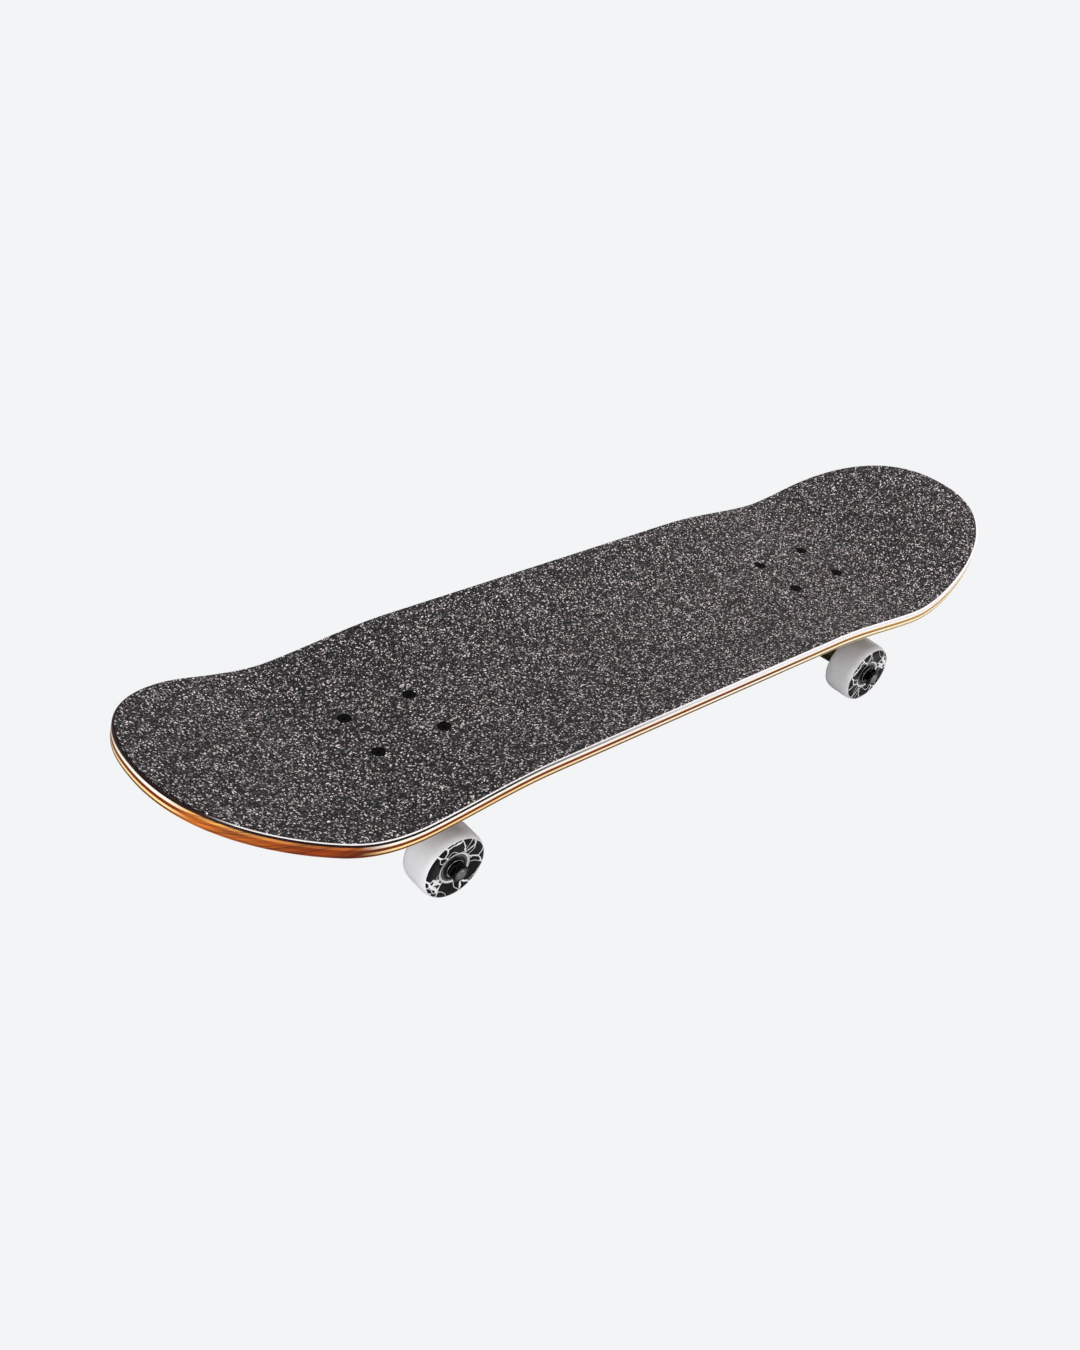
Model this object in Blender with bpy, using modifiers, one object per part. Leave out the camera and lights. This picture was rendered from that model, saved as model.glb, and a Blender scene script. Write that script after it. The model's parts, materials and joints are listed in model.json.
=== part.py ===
"""A street skateboard: a pressed seven-ply deck with grip tape, on two kingpin trucks and four wheels.

Row frame: +X towards the nose, +Y to the left, +Z up. The origin is on the ground, under the middle
of the deck. Both trucks are the same parts: each hangs from an empty at the middle of its bolt
pattern, and the tail truck's empty is turned half a turn, so that both kingpins face the middle.
"""

import math

import bmesh
import bpy
from mathutils import Matrix, Vector

MM = 0.001
GAP = 0.3 * MM  # what touching pieces keep between them

# Deck: a pressed board with a raised rim, a steep nose and a flatter tail.
DECK_LENGTH = 798.6 * MM
DECK_WIDTH = 199.6 * MM
DECK_THICKNESS = 10.6 * MM
GRIP_THICKNESS = 0.8 * MM
GRIP_INSET = 1.5 * MM
OUTLINE_POWER = {"nose": 2.23, "tail": 2.32}  # of the superellipse at each end
TAPER_START = {"nose": 269.5 * MM, "tail": 250.0 * MM}
KICK_START = {"nose": 246.6 * MM, "tail": 245.6 * MM}
KICK_ANGLE = {"nose": math.radians(22.0), "tail": math.radians(18.5)}
KICK_RADIUS = 167 * MM
CONCAVE_RISE = 12.3 * MM
CONCAVE_FLAT = 24 * MM  # half of the flat strip along the middle
CONCAVE_POWER = 1.7
CONCAVE_FADE = (148 * MM, 270 * MM)  # where the rim comes down towards the kicks
CONCAVE_LEFT = 0.22  # the share of the rise that the kicks keep
END_STATIONS = 9
MIDDLE_STATIONS = 14
COLUMNS = (0.0, 0.244, 0.45, 0.64, 0.82, 1.0)

# Trucks: the bolt pattern, and where the axle and the steering axis are from its middle.
WHEELBASE = 368.3 * MM  # between the inner bolts
WHEELBASE_MIDDLE = -3.6 * MM
BOLTS_ALONG = 53.98 * MM
BOLTS_ACROSS = 41.28 * MM
TRUCK_HEIGHT = 46.5 * MM
AXLE_OUTWARD = 8.86 * MM
PIVOT_POINT = Vector((22, 0, -13)) * MM
RING_POINT = Vector((-12, 0, -29)) * MM
KINGPIN_TILT = math.radians(22)
STEM_FOOT = Vector((10, 0, -37)) * MM

BASEPLATE_LENGTH = 80 * MM
BASEPLATE_WIDTH = 56 * MM
BASEPLATE_THICKNESS = 5.5 * MM
BASEPLATE_CORNER = 9 * MM

KINGPIN_RADIUS = 4.76 * MM
KINGPIN_HEAD = (7.8 * MM, 4.6 * MM)  # radius, thickness
RING_THICKNESS = 8 * MM
RING_RADIUS = 15 * MM
RING_HOLE = 8 * MM
BOARDSIDE_BUSHING = (12.2 * MM, 12.9 * MM, 12.7 * MM)  # end radius, middle radius, height
ROADSIDE_BUSHING = (12.0 * MM, 9.4 * MM, 10.8 * MM)  # radius at the ring, at the washer, height
CUP_WASHER = (10.6 * MM, 1.4 * MM)
KINGPIN_NUT = (14.3 * MM, 8.4 * MM)  # across flats, height
KINGPIN_BEYOND_NUT = 1.8 * MM

PIVOT_CUP_RADIUS = 8.3 * MM
PIVOT_CUP_BORE = 6.6 * MM
PIVOT_CUP_DEPTH = 6.2 * MM  # each way from the pivot point
PIVOT_CUP_FLOOR = 0.55 * MM

HANGER_WIDTH = 128 * MM
HANGER_MIDDLE_RADIUS = 12.5 * MM
HANGER_END_RADIUS = 8.6 * MM

# Axle, wheels and bearings. A bearing is the common 22 x 8 x 7 mm size.
AXLE_RADIUS = 3.97 * MM
AXLE_LENGTH = 196 * MM
WHEEL_RADIUS = 26 * MM
WHEEL_WIDTH = 28 * MM
WHEEL_MIDDLE = 77.5 * MM
WHEEL_STEPS = 24
BEARING_RADIUS = 11 * MM
BEARING_BORE = 4.4 * MM
BEARING_WIDTH = 7 * MM
BEARING_MIDDLE = 8.6 * MM  # from the wheel's middle
BEARING_LEDGE = 4.8 * MM
SPEED_WASHER = (7.0 * MM, 0.8 * MM)
AXLE_NUT = (12.7 * MM, 6.0 * MM)

# Mounting hardware: countersunk cross-head bolts with lock nuts.
BOLT_RADIUS = 2.35 * MM
BOLT_LENGTH = 25.4 * MM
BOLT_HEAD = (4.5 * MM, 3.0 * MM)
BOLT_NUT = (9.5 * MM, 4.8 * MM)
BOLT_CLEARANCE = 0.4 * MM
HOLE_STEPS = 12

# Heights above the ground.
AXLE_Z = WHEEL_RADIUS
BASE_Z = AXLE_Z + TRUCK_HEIGHT
DECK_TOP_Z = BASE_Z + GAP + DECK_THICKNESS
GRIP_TOP_Z = DECK_TOP_Z + GAP + GRIP_THICKNESS

# Along the kingpin, above the hanger ring's middle: the boardside bushing's seat and the bolt head's floor.
SEAT_HEIGHT = RING_THICKNESS / 2 + BOARDSIDE_BUSHING[2] + 2 * GAP
HEAD_HEIGHT = SEAT_HEIGHT + 5.2 * MM

KINGPIN_UP = Vector((math.sin(KINGPIN_TILT), 0, math.cos(KINGPIN_TILT)))
STEM_UP = (PIVOT_POINT - STEM_FOOT).normalized()
AXLE_POINT = Vector((AXLE_OUTWARD, 0, -TRUCK_HEIGHT))
X_AXIS, Y_AXIS, Z_AXIS = Vector((1, 0, 0)), Vector((0, 1, 0)), Vector((0, 0, 1))


# ---------------------------------------------------------------- scene and small tools


def clear_scene():
    for obj in list(bpy.data.objects):
        bpy.data.objects.remove(obj)


def new_collection(name, hidden=False):
    collection = bpy.data.collections.new(name)
    bpy.context.scene.collection.children.link(collection)
    collection.hide_render = hidden
    return collection


def material(name, colour, roughness, metallic=0.0):
    made = bpy.data.materials.new(name)
    made.use_nodes = True
    shader = made.node_tree.nodes["Principled BSDF"]
    shader.inputs["Base Color"].default_value = (*colour, 1.0)
    shader.inputs["Roughness"].default_value = roughness
    shader.inputs["Metallic"].default_value = metallic
    return made


def along(point, direction):
    """The matrix that stands a shape's own Z axis along direction, at point."""
    turn = Z_AXIS.rotation_difference(Vector(direction)).to_matrix().to_4x4()
    return Matrix.Translation(Vector(point)) @ turn


def bench_object(name, mesh, matrix=None):
    """An object on the bench: a shape still being cut and joined, or a cutter."""
    obj = bpy.data.objects.new(name, mesh)
    BENCH.objects.link(obj)
    obj.hide_render = True
    obj.display_type = "WIRE"
    obj.matrix_world = matrix or Matrix.Identity(4)
    return obj


def from_bmesh(name, shape, matrix=None):
    mesh = bpy.data.meshes.new(name)
    shape.to_mesh(mesh)
    shape.free()
    return bench_object(name, mesh, matrix)


def cone(name, low_radius, high_radius, low, high, matrix=None, segments=20):
    """A cylinder or cone along its own Z axis, from low to high."""
    shape = bmesh.new()
    bmesh.ops.create_cone(
        shape,
        cap_ends=True,
        segments=segments,
        radius1=low_radius,
        radius2=high_radius,
        depth=high - low,
        matrix=Matrix.Translation((0, 0, (low + high) / 2)),
    )
    return from_bmesh(name, shape, matrix)


def box(name, size, matrix=None):
    shape = bmesh.new()
    bmesh.ops.create_cube(shape, size=1.0)
    bmesh.ops.scale(shape, vec=size, verts=shape.verts)
    return from_bmesh(name, shape, matrix)


def ball(name, radius, matrix=None):
    shape = bmesh.new()
    bmesh.ops.create_uvsphere(shape, u_segments=16, v_segments=10, radius=radius)
    return from_bmesh(name, shape, matrix)


def turned(name, profile, steps, ring=False, start=0.0):
    """A turned shape about its own Z axis. The profile is (radius, height) points, down the outer side.

    A ring's profile closes on itself; any other profile starts and ends on the axis.
    """
    mesh = bpy.data.meshes.new(name)
    points = [(r * math.cos(start), r * math.sin(start), z) for r, z in profile]
    edges = [(i, i + 1) for i in range(len(points) - 1)]
    if ring:
        edges.append((len(points) - 1, 0))
    mesh.from_pydata(points, edges, [])
    obj = bench_object(name, mesh)
    screw = obj.modifiers.new("Turn", "SCREW")
    screw.steps = screw.render_steps = steps
    screw.use_merge_vertices = True
    screw.merge_threshold = 0.00001
    return obj


def boolean(obj, other, operation):
    modifier = obj.modifiers.new(other.name, "BOOLEAN")
    modifier.operation = operation
    modifier.object = other


def cut(obj, *cutters):
    for cutter in cutters:
        boolean(obj, cutter, "DIFFERENCE")
    return obj


def join(obj, *others):
    for other in others:
        boolean(obj, other, "UNION")
    return obj


def baked(obj, smooth_angle=math.radians(35)):
    """The finished mesh of a bench object, in the bench's frame. The bench is then empty again."""
    bpy.context.view_layer.update()
    graph = bpy.context.evaluated_depsgraph_get()
    mesh = bpy.data.meshes.new_from_object(obj.evaluated_get(graph))
    mesh.name = obj.name
    mesh.transform(obj.matrix_world)
    mesh.shade_smooth()
    mesh.set_sharp_from_angle(angle=smooth_angle)
    for used in list(BENCH.objects):
        bpy.data.objects.remove(used)
    return mesh


def empty(name, parent=None, location=(0, 0, 0), turn=0.0):
    obj = bpy.data.objects.new(name, None)
    BOARD.objects.link(obj)
    obj.parent = parent
    obj.location = location
    obj.rotation_euler = (0, 0, turn)
    obj.empty_display_size = 0.02
    return obj


def place(name, mesh, colour, parent=None, matrix=None):
    """Puts a named copy of a finished mesh in the board."""
    if not mesh.materials:
        mesh.materials.append(colour)
    obj = bpy.data.objects.new(name, mesh)
    BOARD.objects.link(obj)
    obj.parent = parent
    obj.matrix_basis = matrix or Matrix.Identity(4)
    return obj


# ---------------------------------------------------------------- the deck and its grip tape


def end_of(x):
    return "nose" if x >= 0 else "tail"


def half_width(x, inset=0.0):
    """Half of the deck's width at x: straight sides, then a superellipse to each tip."""
    taper = TAPER_START[end_of(x)]
    reach = DECK_LENGTH / 2 - inset - taper
    past = max(0.0, (abs(x) - taper) / reach)
    power = OUTLINE_POWER[end_of(x)]
    return (DECK_WIDTH / 2 - inset) * max(0.0, 1 - past**power) ** (1 / power)


def kick_rise(x):
    """How far the middle of the deck rises at x: an arc, then a straight ramp."""
    angle = KICK_ANGLE[end_of(x)]
    past = max(0.0, abs(x) - KICK_START[end_of(x)])
    bend = KICK_RADIUS * math.sin(angle)
    if past < bend:
        return KICK_RADIUS - math.sqrt(KICK_RADIUS**2 - past**2)
    return KICK_RADIUS * (1 - math.cos(angle)) + (past - bend) * math.tan(angle)


def concave_rise(x, y):
    """How far the rim rises beside the flat middle strip; it fades towards the kicks."""
    first, last = CONCAVE_FADE
    t = min(1.0, max(0.0, (abs(x) - first) / (last - first)))
    share = 1 + (CONCAVE_LEFT - 1) * t * t * (3 - 2 * t)
    beside = max(0.0, abs(y) - CONCAVE_FLAT) / (DECK_WIDTH / 2 - CONCAVE_FLAT)
    return CONCAVE_RISE * share * beside**CONCAVE_POWER


def stations(inset):
    """The X positions of the cross-sections, from tail tip to nose tip, closer together at the tips."""
    def end_part(end):
        taper = TAPER_START[end]
        reach = DECK_LENGTH / 2 - inset - taper
        turns = [math.pi / 2 * i / END_STATIONS for i in range(END_STATIONS + 1)]
        return [taper + reach * math.sin(a) ** (2 / OUTLINE_POWER[end]) for a in turns]

    nose, tail = end_part("nose"), end_part("tail")
    step = (nose[0] + tail[0]) / MIDDLE_STATIONS
    middle = [-tail[0] + step * i for i in range(1, MIDDLE_STATIONS)]
    return [-x for x in reversed(tail)] + middle + nose


def board_sheet(name, top_z, thickness, inset):
    """A sheet that follows the deck's shape, with its upper face at top_z over the middle strip.

    The rim is upright, and the sheet is equally thick everywhere, measured square to its faces.
    """
    shape = bmesh.new()
    shares = [-c for c in reversed(COLUMNS[1:])] + list(COLUMNS)
    rows = []
    for x in stations(inset):
        half = half_width(x, inset)
        if half < 0.1 * MM:
            rows.append([shape.verts.new((x, 0, top_z + kick_rise(x)))] * len(shares))
            continue
        row = [(x, half * s, top_z + kick_rise(x) + concave_rise(x, half * s)) for s in shares]
        rows.append([shape.verts.new(point) for point in row])
    for row, after in zip(rows, rows[1:]):
        for j in range(len(shares) - 1):
            ring = dict.fromkeys((row[j], after[j], after[j + 1], row[j + 1]))
            shape.faces.new(list(ring))
    shape.normal_update()
    depths = {tuple(vert.co): thickness / abs(vert.normal.z) for vert in shape.verts}
    made = bmesh.ops.extrude_face_region(shape, geom=shape.faces[:])
    for vert in made["geom"]:
        if isinstance(vert, bmesh.types.BMVert):
            vert.co.z -= depths[tuple(vert.co)]
    bmesh.ops.recalc_face_normals(shape, faces=shape.faces[:])
    return from_bmesh(name, shape)


def bolt_places():
    """The eight mounting bolts, as (truck, corner name, place from the truck's middle)."""
    for truck in TRUCKS:
        for far, along_name in ((1, "outer"), (-1, "inner")):
            for side, across_name in ((1, "left"), (-1, "right")):
                turned_side = side if truck == "nose" else -side
                spot = (far * BOLTS_ALONG / 2, turned_side * BOLTS_ACROSS / 2)
                yield truck, f"{along_name}_{across_name}", spot


def cut_bolt_holes(sheet):
    """Drills and countersinks a sheet for the mounting bolts."""
    radius, depth = BOLT_HEAD
    head_z = GRIP_TOP_Z - GAP
    profile = [
        (0, head_z + 10 * MM),
        (radius + BOLT_CLEARANCE, head_z + 10 * MM),
        (radius + BOLT_CLEARANCE, head_z - 0.4 * MM),
        (BOLT_RADIUS + BOLT_CLEARANCE, head_z - depth),
        (BOLT_RADIUS + BOLT_CLEARANCE, BASE_Z - 10 * MM),
        (0, BASE_Z - 10 * MM),
    ]
    for truck, corner, (out, left) in bolt_places():
        middle, turn = TRUCKS[truck]
        drill = turned(f"drill_{sheet.name}_{truck}_{corner}", profile, HOLE_STEPS)
        drill.matrix_world = Matrix.Translation((middle + out * math.cos(turn), left * math.cos(turn), 0))
        cut(sheet, drill)


def make_deck():
    deck = board_sheet("deck", DECK_TOP_Z, DECK_THICKNESS, 0.0)
    cut_bolt_holes(deck)
    place("deck", baked(deck), MAPLE)
    grip = board_sheet("grip_tape", GRIP_TOP_Z, GRIP_THICKNESS, GRIP_INSET)
    cut_bolt_holes(grip)
    place("grip_tape", baked(grip), GRIT)


# ---------------------------------------------------------------- small hardware


def hex_nut(name, across_flats, height, bore):
    """A hexagon nut standing on Z = 0, with its bore along Z and its upper corners chamfered."""
    radius = across_flats / 2 / math.cos(math.pi / 6)
    nut = cone(name, radius, radius, 0, height, segments=6)
    chamfered = [
        (0, height + MM),
        (radius * 0.8, height + MM),
        (radius * 1.03, height * 0.8),
        (radius * 1.03, -height),
        (0, -height),
    ]
    boolean(nut, turned(name + "_chamfer", chamfered, 18), "INTERSECT")
    return cut(nut, cone(name + "_bore", bore, bore, -MM, height + MM, segments=14))


def washer(name, outer, inner, height):
    """A flat ring standing on Z = 0."""
    return turned(name, [(outer, height), (outer, 0), (inner, 0), (inner, height)], 14, ring=True)


def mounting_bolt():
    """A countersunk bolt with its head's face at Z = 0 and a cross recess."""
    radius, depth = BOLT_HEAD
    profile = [
        (0, 0),
        (radius - 0.3 * MM, 0),
        (radius, -0.4 * MM),
        (BOLT_RADIUS, -depth),
        (BOLT_RADIUS, 0.6 * MM - BOLT_LENGTH),
        (BOLT_RADIUS - 0.6 * MM, -BOLT_LENGTH),
        (0, -BOLT_LENGTH),
    ]
    bolt = turned("mounting_bolt", profile, 12)
    slot = (4.6 * MM, 1.0 * MM, 3.0 * MM)
    return cut(bolt, box("slot_along", slot), box("slot_across", slot, Matrix.Rotation(math.pi / 2, 4, "Z")))


def make_mounting_hardware(truck_empties):
    bolt = baked(mounting_bolt())
    nut = baked(hex_nut("mounting_nut", *BOLT_NUT, BOLT_RADIUS + GAP))
    head_z = GRIP_TOP_Z - GAP - BASE_Z
    nut_z = -BASEPLATE_THICKNESS - GAP
    upside_down = Matrix.Rotation(math.pi, 4, "X")
    for truck, corner, (out, left) in bolt_places():
        parent = truck_empties[truck]
        place(f"{truck}_bolt_{corner}", bolt, BLACK_STEEL, parent, Matrix.Translation((out, left, head_z)))
        spot = Matrix.Translation((out, left, nut_z)) @ upside_down
        place(f"{truck}_bolt_nut_{corner}", nut, BLACK_STEEL, parent, spot)


# ---------------------------------------------------------------- the truck's fixed half


def on_kingpin(distance):
    """The point on the kingpin's axis this far above the hanger ring's middle."""
    return RING_POINT + KINGPIN_UP * distance


def make_baseplate():
    shape = bmesh.new()
    bmesh.ops.create_cube(shape, size=1.0)
    bmesh.ops.scale(shape, vec=(BASEPLATE_LENGTH, BASEPLATE_WIDTH, BASEPLATE_THICKNESS), verts=shape.verts)
    bmesh.ops.translate(shape, vec=(0, 0, -BASEPLATE_THICKNESS / 2), verts=shape.verts)
    upright = [e for e in shape.edges if abs(e.verts[0].co.z - e.verts[1].co.z) > BASEPLATE_THICKNESS / 2]
    bmesh.ops.bevel(
        shape, geom=upright, offset=BASEPLATE_CORNER, segments=4, profile=0.5, affect="EDGES"
    )
    plate = from_bmesh("baseplate", shape)

    kingpin_axis = along(RING_POINT, KINGPIN_UP)
    stem_axis = along(PIVOT_POINT, STEM_UP)
    boss_top = -RING_POINT.z / KINGPIN_UP.z
    kingpin_boss = cone("kingpin_boss", 13.4 * MM, 17.0 * MM, SEAT_HEIGHT, boss_top, kingpin_axis)
    pivot_boss = cone("pivot_boss", 11.4 * MM, 13.5 * MM, MM - PIVOT_CUP_DEPTH, 13 * MM, stem_axis)
    rib = box("rib", (26 * MM, 13 * MM, 9 * MM), Matrix.Translation((10 * MM, 0, -6.5 * MM)))
    join(plate, kingpin_boss, pivot_boss, rib)

    above = box("above_plate", (0.2, 0.2, 0.04), Matrix.Translation((0, 0, 0.02)))
    pocket_radius = KINGPIN_HEAD[0] + 0.4 * MM
    pocket = cone("head_pocket", pocket_radius, pocket_radius, HEAD_HEIGHT, 0.05, kingpin_axis)
    hole_radius = KINGPIN_RADIUS + GAP
    hole = cone("kingpin_hole", hole_radius, hole_radius, 0, 0.05, kingpin_axis)
    socket_radius = PIVOT_CUP_RADIUS + GAP
    socket = cone("cup_socket", socket_radius, socket_radius, -0.02, PIVOT_CUP_DEPTH + GAP, stem_axis)
    cut(plate, above, pocket, hole, socket)
    radius = BOLT_RADIUS + BOLT_CLEARANCE
    for far in (1, -1):
        for side in (1, -1):
            spot = Matrix.Translation((far * BOLTS_ALONG / 2, side * BOLTS_ACROSS / 2, 0))
            cut(plate, cone(f"bolt_hole_{far}_{side}", radius, radius, -0.03, 0.01, spot, HOLE_STEPS))
    return baked(plate)


def make_pivot_cup():
    """A urethane cup, open downwards, that the hanger's pivot turns in."""
    profile = [
        (0, PIVOT_CUP_DEPTH),
        (PIVOT_CUP_RADIUS, PIVOT_CUP_DEPTH),
        (PIVOT_CUP_RADIUS, -PIVOT_CUP_DEPTH),
        (PIVOT_CUP_BORE + 0.8 * MM, -PIVOT_CUP_DEPTH),
        (PIVOT_CUP_BORE, -PIVOT_CUP_DEPTH + MM),
        (PIVOT_CUP_BORE, 2.6 * MM),
        (PIVOT_CUP_BORE * 0.6, PIVOT_CUP_DEPTH - PIVOT_CUP_FLOOR),
        (0, PIVOT_CUP_DEPTH - PIVOT_CUP_FLOOR),
    ]
    return baked(turned("pivot_cup", profile, 18))


def make_kingpin():
    """The truck's big bolt. Z = 0 is the hanger ring's middle."""
    head_radius, head_thickness = KINGPIN_HEAD
    foot = -(RING_THICKNESS / 2 + ROADSIDE_BUSHING[2] + CUP_WASHER[1] + 3 * GAP)
    foot -= KINGPIN_NUT[1] + KINGPIN_BEYOND_NUT
    under_head = HEAD_HEIGHT + GAP
    profile = [
        (0, under_head + head_thickness),
        (head_radius, under_head + head_thickness),
        (head_radius, under_head),
        (KINGPIN_RADIUS, under_head),
        (KINGPIN_RADIUS, foot + MM),
        (KINGPIN_RADIUS - MM, foot),
        (0, foot),
    ]
    return baked(turned("kingpin", profile, 18))


def make_boardside_bushing():
    """The barrel bushing between the baseplate and the hanger ring, standing on Z = 0."""
    end, middle, height = BOARDSIDE_BUSHING
    bore = KINGPIN_RADIUS + GAP
    profile = [
        (end, height),
        (middle, height * 0.65),
        (middle, height * 0.35),
        (end, 0),
        (bore, 0),
        (bore, height),
    ]
    return baked(turned("boardside_bushing", profile, 20, ring=True))


def make_roadside_bushing():
    """The cone bushing between the hanger ring and the cup washer, standing on Z = 0, wide end up."""
    wide, narrow, height = ROADSIDE_BUSHING
    bore = KINGPIN_RADIUS + GAP
    profile = [(wide, height), (wide, height * 0.75), (narrow, 0), (bore, 0), (bore, height)]
    return baked(turned("roadside_bushing", profile, 20, ring=True))


def make_cup_washer():
    radius, height = CUP_WASHER
    bore = KINGPIN_RADIUS + GAP
    return baked(washer("cup_washer", radius, bore, height))


# ---------------------------------------------------------------- the hanger


def make_hanger():
    """The casting that holds the axle, in the bench's frame: Z = 0 is the baseplate's top."""
    half = HANGER_WIDTH / 2
    profile = [
        (0, half),
        (HANGER_END_RADIUS, half),
        (HANGER_END_RADIUS + 0.6 * MM, half - 14 * MM),
        (HANGER_MIDDLE_RADIUS - 1.5 * MM, 24 * MM),
        (HANGER_MIDDLE_RADIUS, 12 * MM),
        (HANGER_MIDDLE_RADIUS, -12 * MM),
        (HANGER_MIDDLE_RADIUS - 1.5 * MM, -24 * MM),
        (HANGER_END_RADIUS + 0.6 * MM, -half + 14 * MM),
        (HANGER_END_RADIUS, -half),
        (0, -half),
    ]
    housing = turned("hanger", profile, 20)
    housing.matrix_world = along(AXLE_POINT, Y_AXIS)

    kingpin_axis = along(RING_POINT, KINGPIN_UP)
    half_ring = RING_THICKNESS / 2
    ring = cone("ring", RING_RADIUS, RING_RADIUS, -half_ring, half_ring, kingpin_axis, 24)
    to_axle = AXLE_POINT - RING_POINT
    web = box("web", (30 * MM, 24 * MM, RING_THICKNESS - 0.6 * MM))
    lean = math.atan2(-to_axle.z, to_axle.x)
    web.matrix_world = Matrix.Translation(RING_POINT.lerp(AXLE_POINT, 0.62)) @ Matrix.Rotation(lean, 4, "Y")

    stem_axis = along(PIVOT_POINT, STEM_UP)
    stem_length = (PIVOT_POINT - STEM_FOOT).length
    stem = cone("stem", 10.5 * MM, 4.3 * MM, -stem_length, 0, stem_axis, 16)
    tip = ball("pivot_tip", 5.3 * MM, stem_axis)
    join(housing, ring, web, stem, tip)

    bore = cone("axle_bore", AXLE_RADIUS + GAP, AXLE_RADIUS + GAP, -0.1, 0.1, along(AXLE_POINT, Y_AXIS), 16)
    hole = cone("ring_hole", RING_HOLE, RING_HOLE, -half_ring - MM, half_ring + MM, kingpin_axis, 18)
    bushing_clear = 15.5 * MM
    recess_above = cone("above_ring", bushing_clear, bushing_clear, half_ring, 20 * MM, kingpin_axis, 24)
    recess_below = cone("below_ring", bushing_clear, bushing_clear, -19 * MM, -half_ring, kingpin_axis, 24)
    cut(housing, recess_above, recess_below, hole, bore)
    return baked(housing)


def make_axle():
    half = AXLE_LENGTH / 2
    profile = [
        (0, half),
        (AXLE_RADIUS - 0.8 * MM, half),
        (AXLE_RADIUS, half - MM),
        (AXLE_RADIUS, -half + MM),
        (AXLE_RADIUS - 0.8 * MM, -half),
        (0, -half),
    ]
    return baked(turned("axle", profile, 16))


# ---------------------------------------------------------------- wheels


def make_wheel():
    """A urethane wheel about its own Z axis. One of its flats faces -X, and touches the ground there."""
    flat = 1 / math.cos(math.pi / WHEEL_STEPS)
    half = WHEEL_WIDTH / 2
    seat = BEARING_RADIUS + GAP
    outer = [
        (WHEEL_RADIUS * flat, 9.4 * MM),
        (24.4 * MM * flat, half - 1.4 * MM),
        (21.0 * MM, half),
        (12.8 * MM, half - 1.4 * MM),
        (seat, half - 1.4 * MM),
        (seat, BEARING_LEDGE),
        (seat - 2.4 * MM, BEARING_LEDGE),
    ]
    # The outer side runs down: the upper face comes first, from its bore out to the tread.
    upper = list(reversed(outer))
    lower = [(r, -z) for r, z in outer]
    wheel = turned("wheel", upper + lower, WHEEL_STEPS, ring=True, start=math.pi / WHEEL_STEPS)
    return baked(wheel)


def make_bearing():
    half = BEARING_WIDTH / 2
    profile = [(BEARING_RADIUS, half), (BEARING_RADIUS, -half), (BEARING_BORE, -half), (BEARING_BORE, half)]
    return baked(turned("bearing", profile, 16, ring=True))


# ---------------------------------------------------------------- putting the trucks together


def make_parts():
    kingpin_bore = KINGPIN_RADIUS + GAP
    return {
        "baseplate": make_baseplate(),
        "pivot_cup": make_pivot_cup(),
        "kingpin": make_kingpin(),
        "boardside_bushing": make_boardside_bushing(),
        "roadside_bushing": make_roadside_bushing(),
        "cup_washer": make_cup_washer(),
        "kingpin_nut": baked(hex_nut("kingpin_nut", *KINGPIN_NUT, kingpin_bore)),
        "hanger": make_hanger(),
        "axle": make_axle(),
        "wheel": make_wheel(),
        "bearing": make_bearing(),
        "speed_washer": baked(washer("speed_washer", SPEED_WASHER[0], AXLE_RADIUS + GAP, SPEED_WASHER[1])),
        "axle_nut": baked(hex_nut("axle_nut", *AXLE_NUT, AXLE_RADIUS + GAP)),
    }


def place_fixed_half(truck, parts, parent):
    """What is bolted to the deck: baseplate, pivot cup, kingpin, bushings, washer and nut."""
    place(f"{truck}_baseplate", parts["baseplate"], CAST_METAL, parent)
    place(f"{truck}_pivot_cup", parts["pivot_cup"], URETHANE, parent, along(PIVOT_POINT, STEM_UP))
    place(f"{truck}_kingpin", parts["kingpin"], STEEL, parent, along(RING_POINT, KINGPIN_UP))
    height = RING_THICKNESS / 2 + GAP
    spot = along(on_kingpin(height), KINGPIN_UP)
    place(f"{truck}_boardside_bushing", parts["boardside_bushing"], URETHANE, parent, spot)
    height = -RING_THICKNESS / 2 - GAP - ROADSIDE_BUSHING[2]
    spot = along(on_kingpin(height), KINGPIN_UP)
    place(f"{truck}_roadside_bushing", parts["roadside_bushing"], URETHANE, parent, spot)
    height -= GAP + CUP_WASHER[1]
    place(f"{truck}_cup_washer", parts["cup_washer"], STEEL, parent, along(on_kingpin(height), KINGPIN_UP))
    height -= GAP
    spot = along(on_kingpin(height), -KINGPIN_UP)
    place(f"{truck}_kingpin_nut", parts["kingpin_nut"], STEEL, parent, spot)


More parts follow.
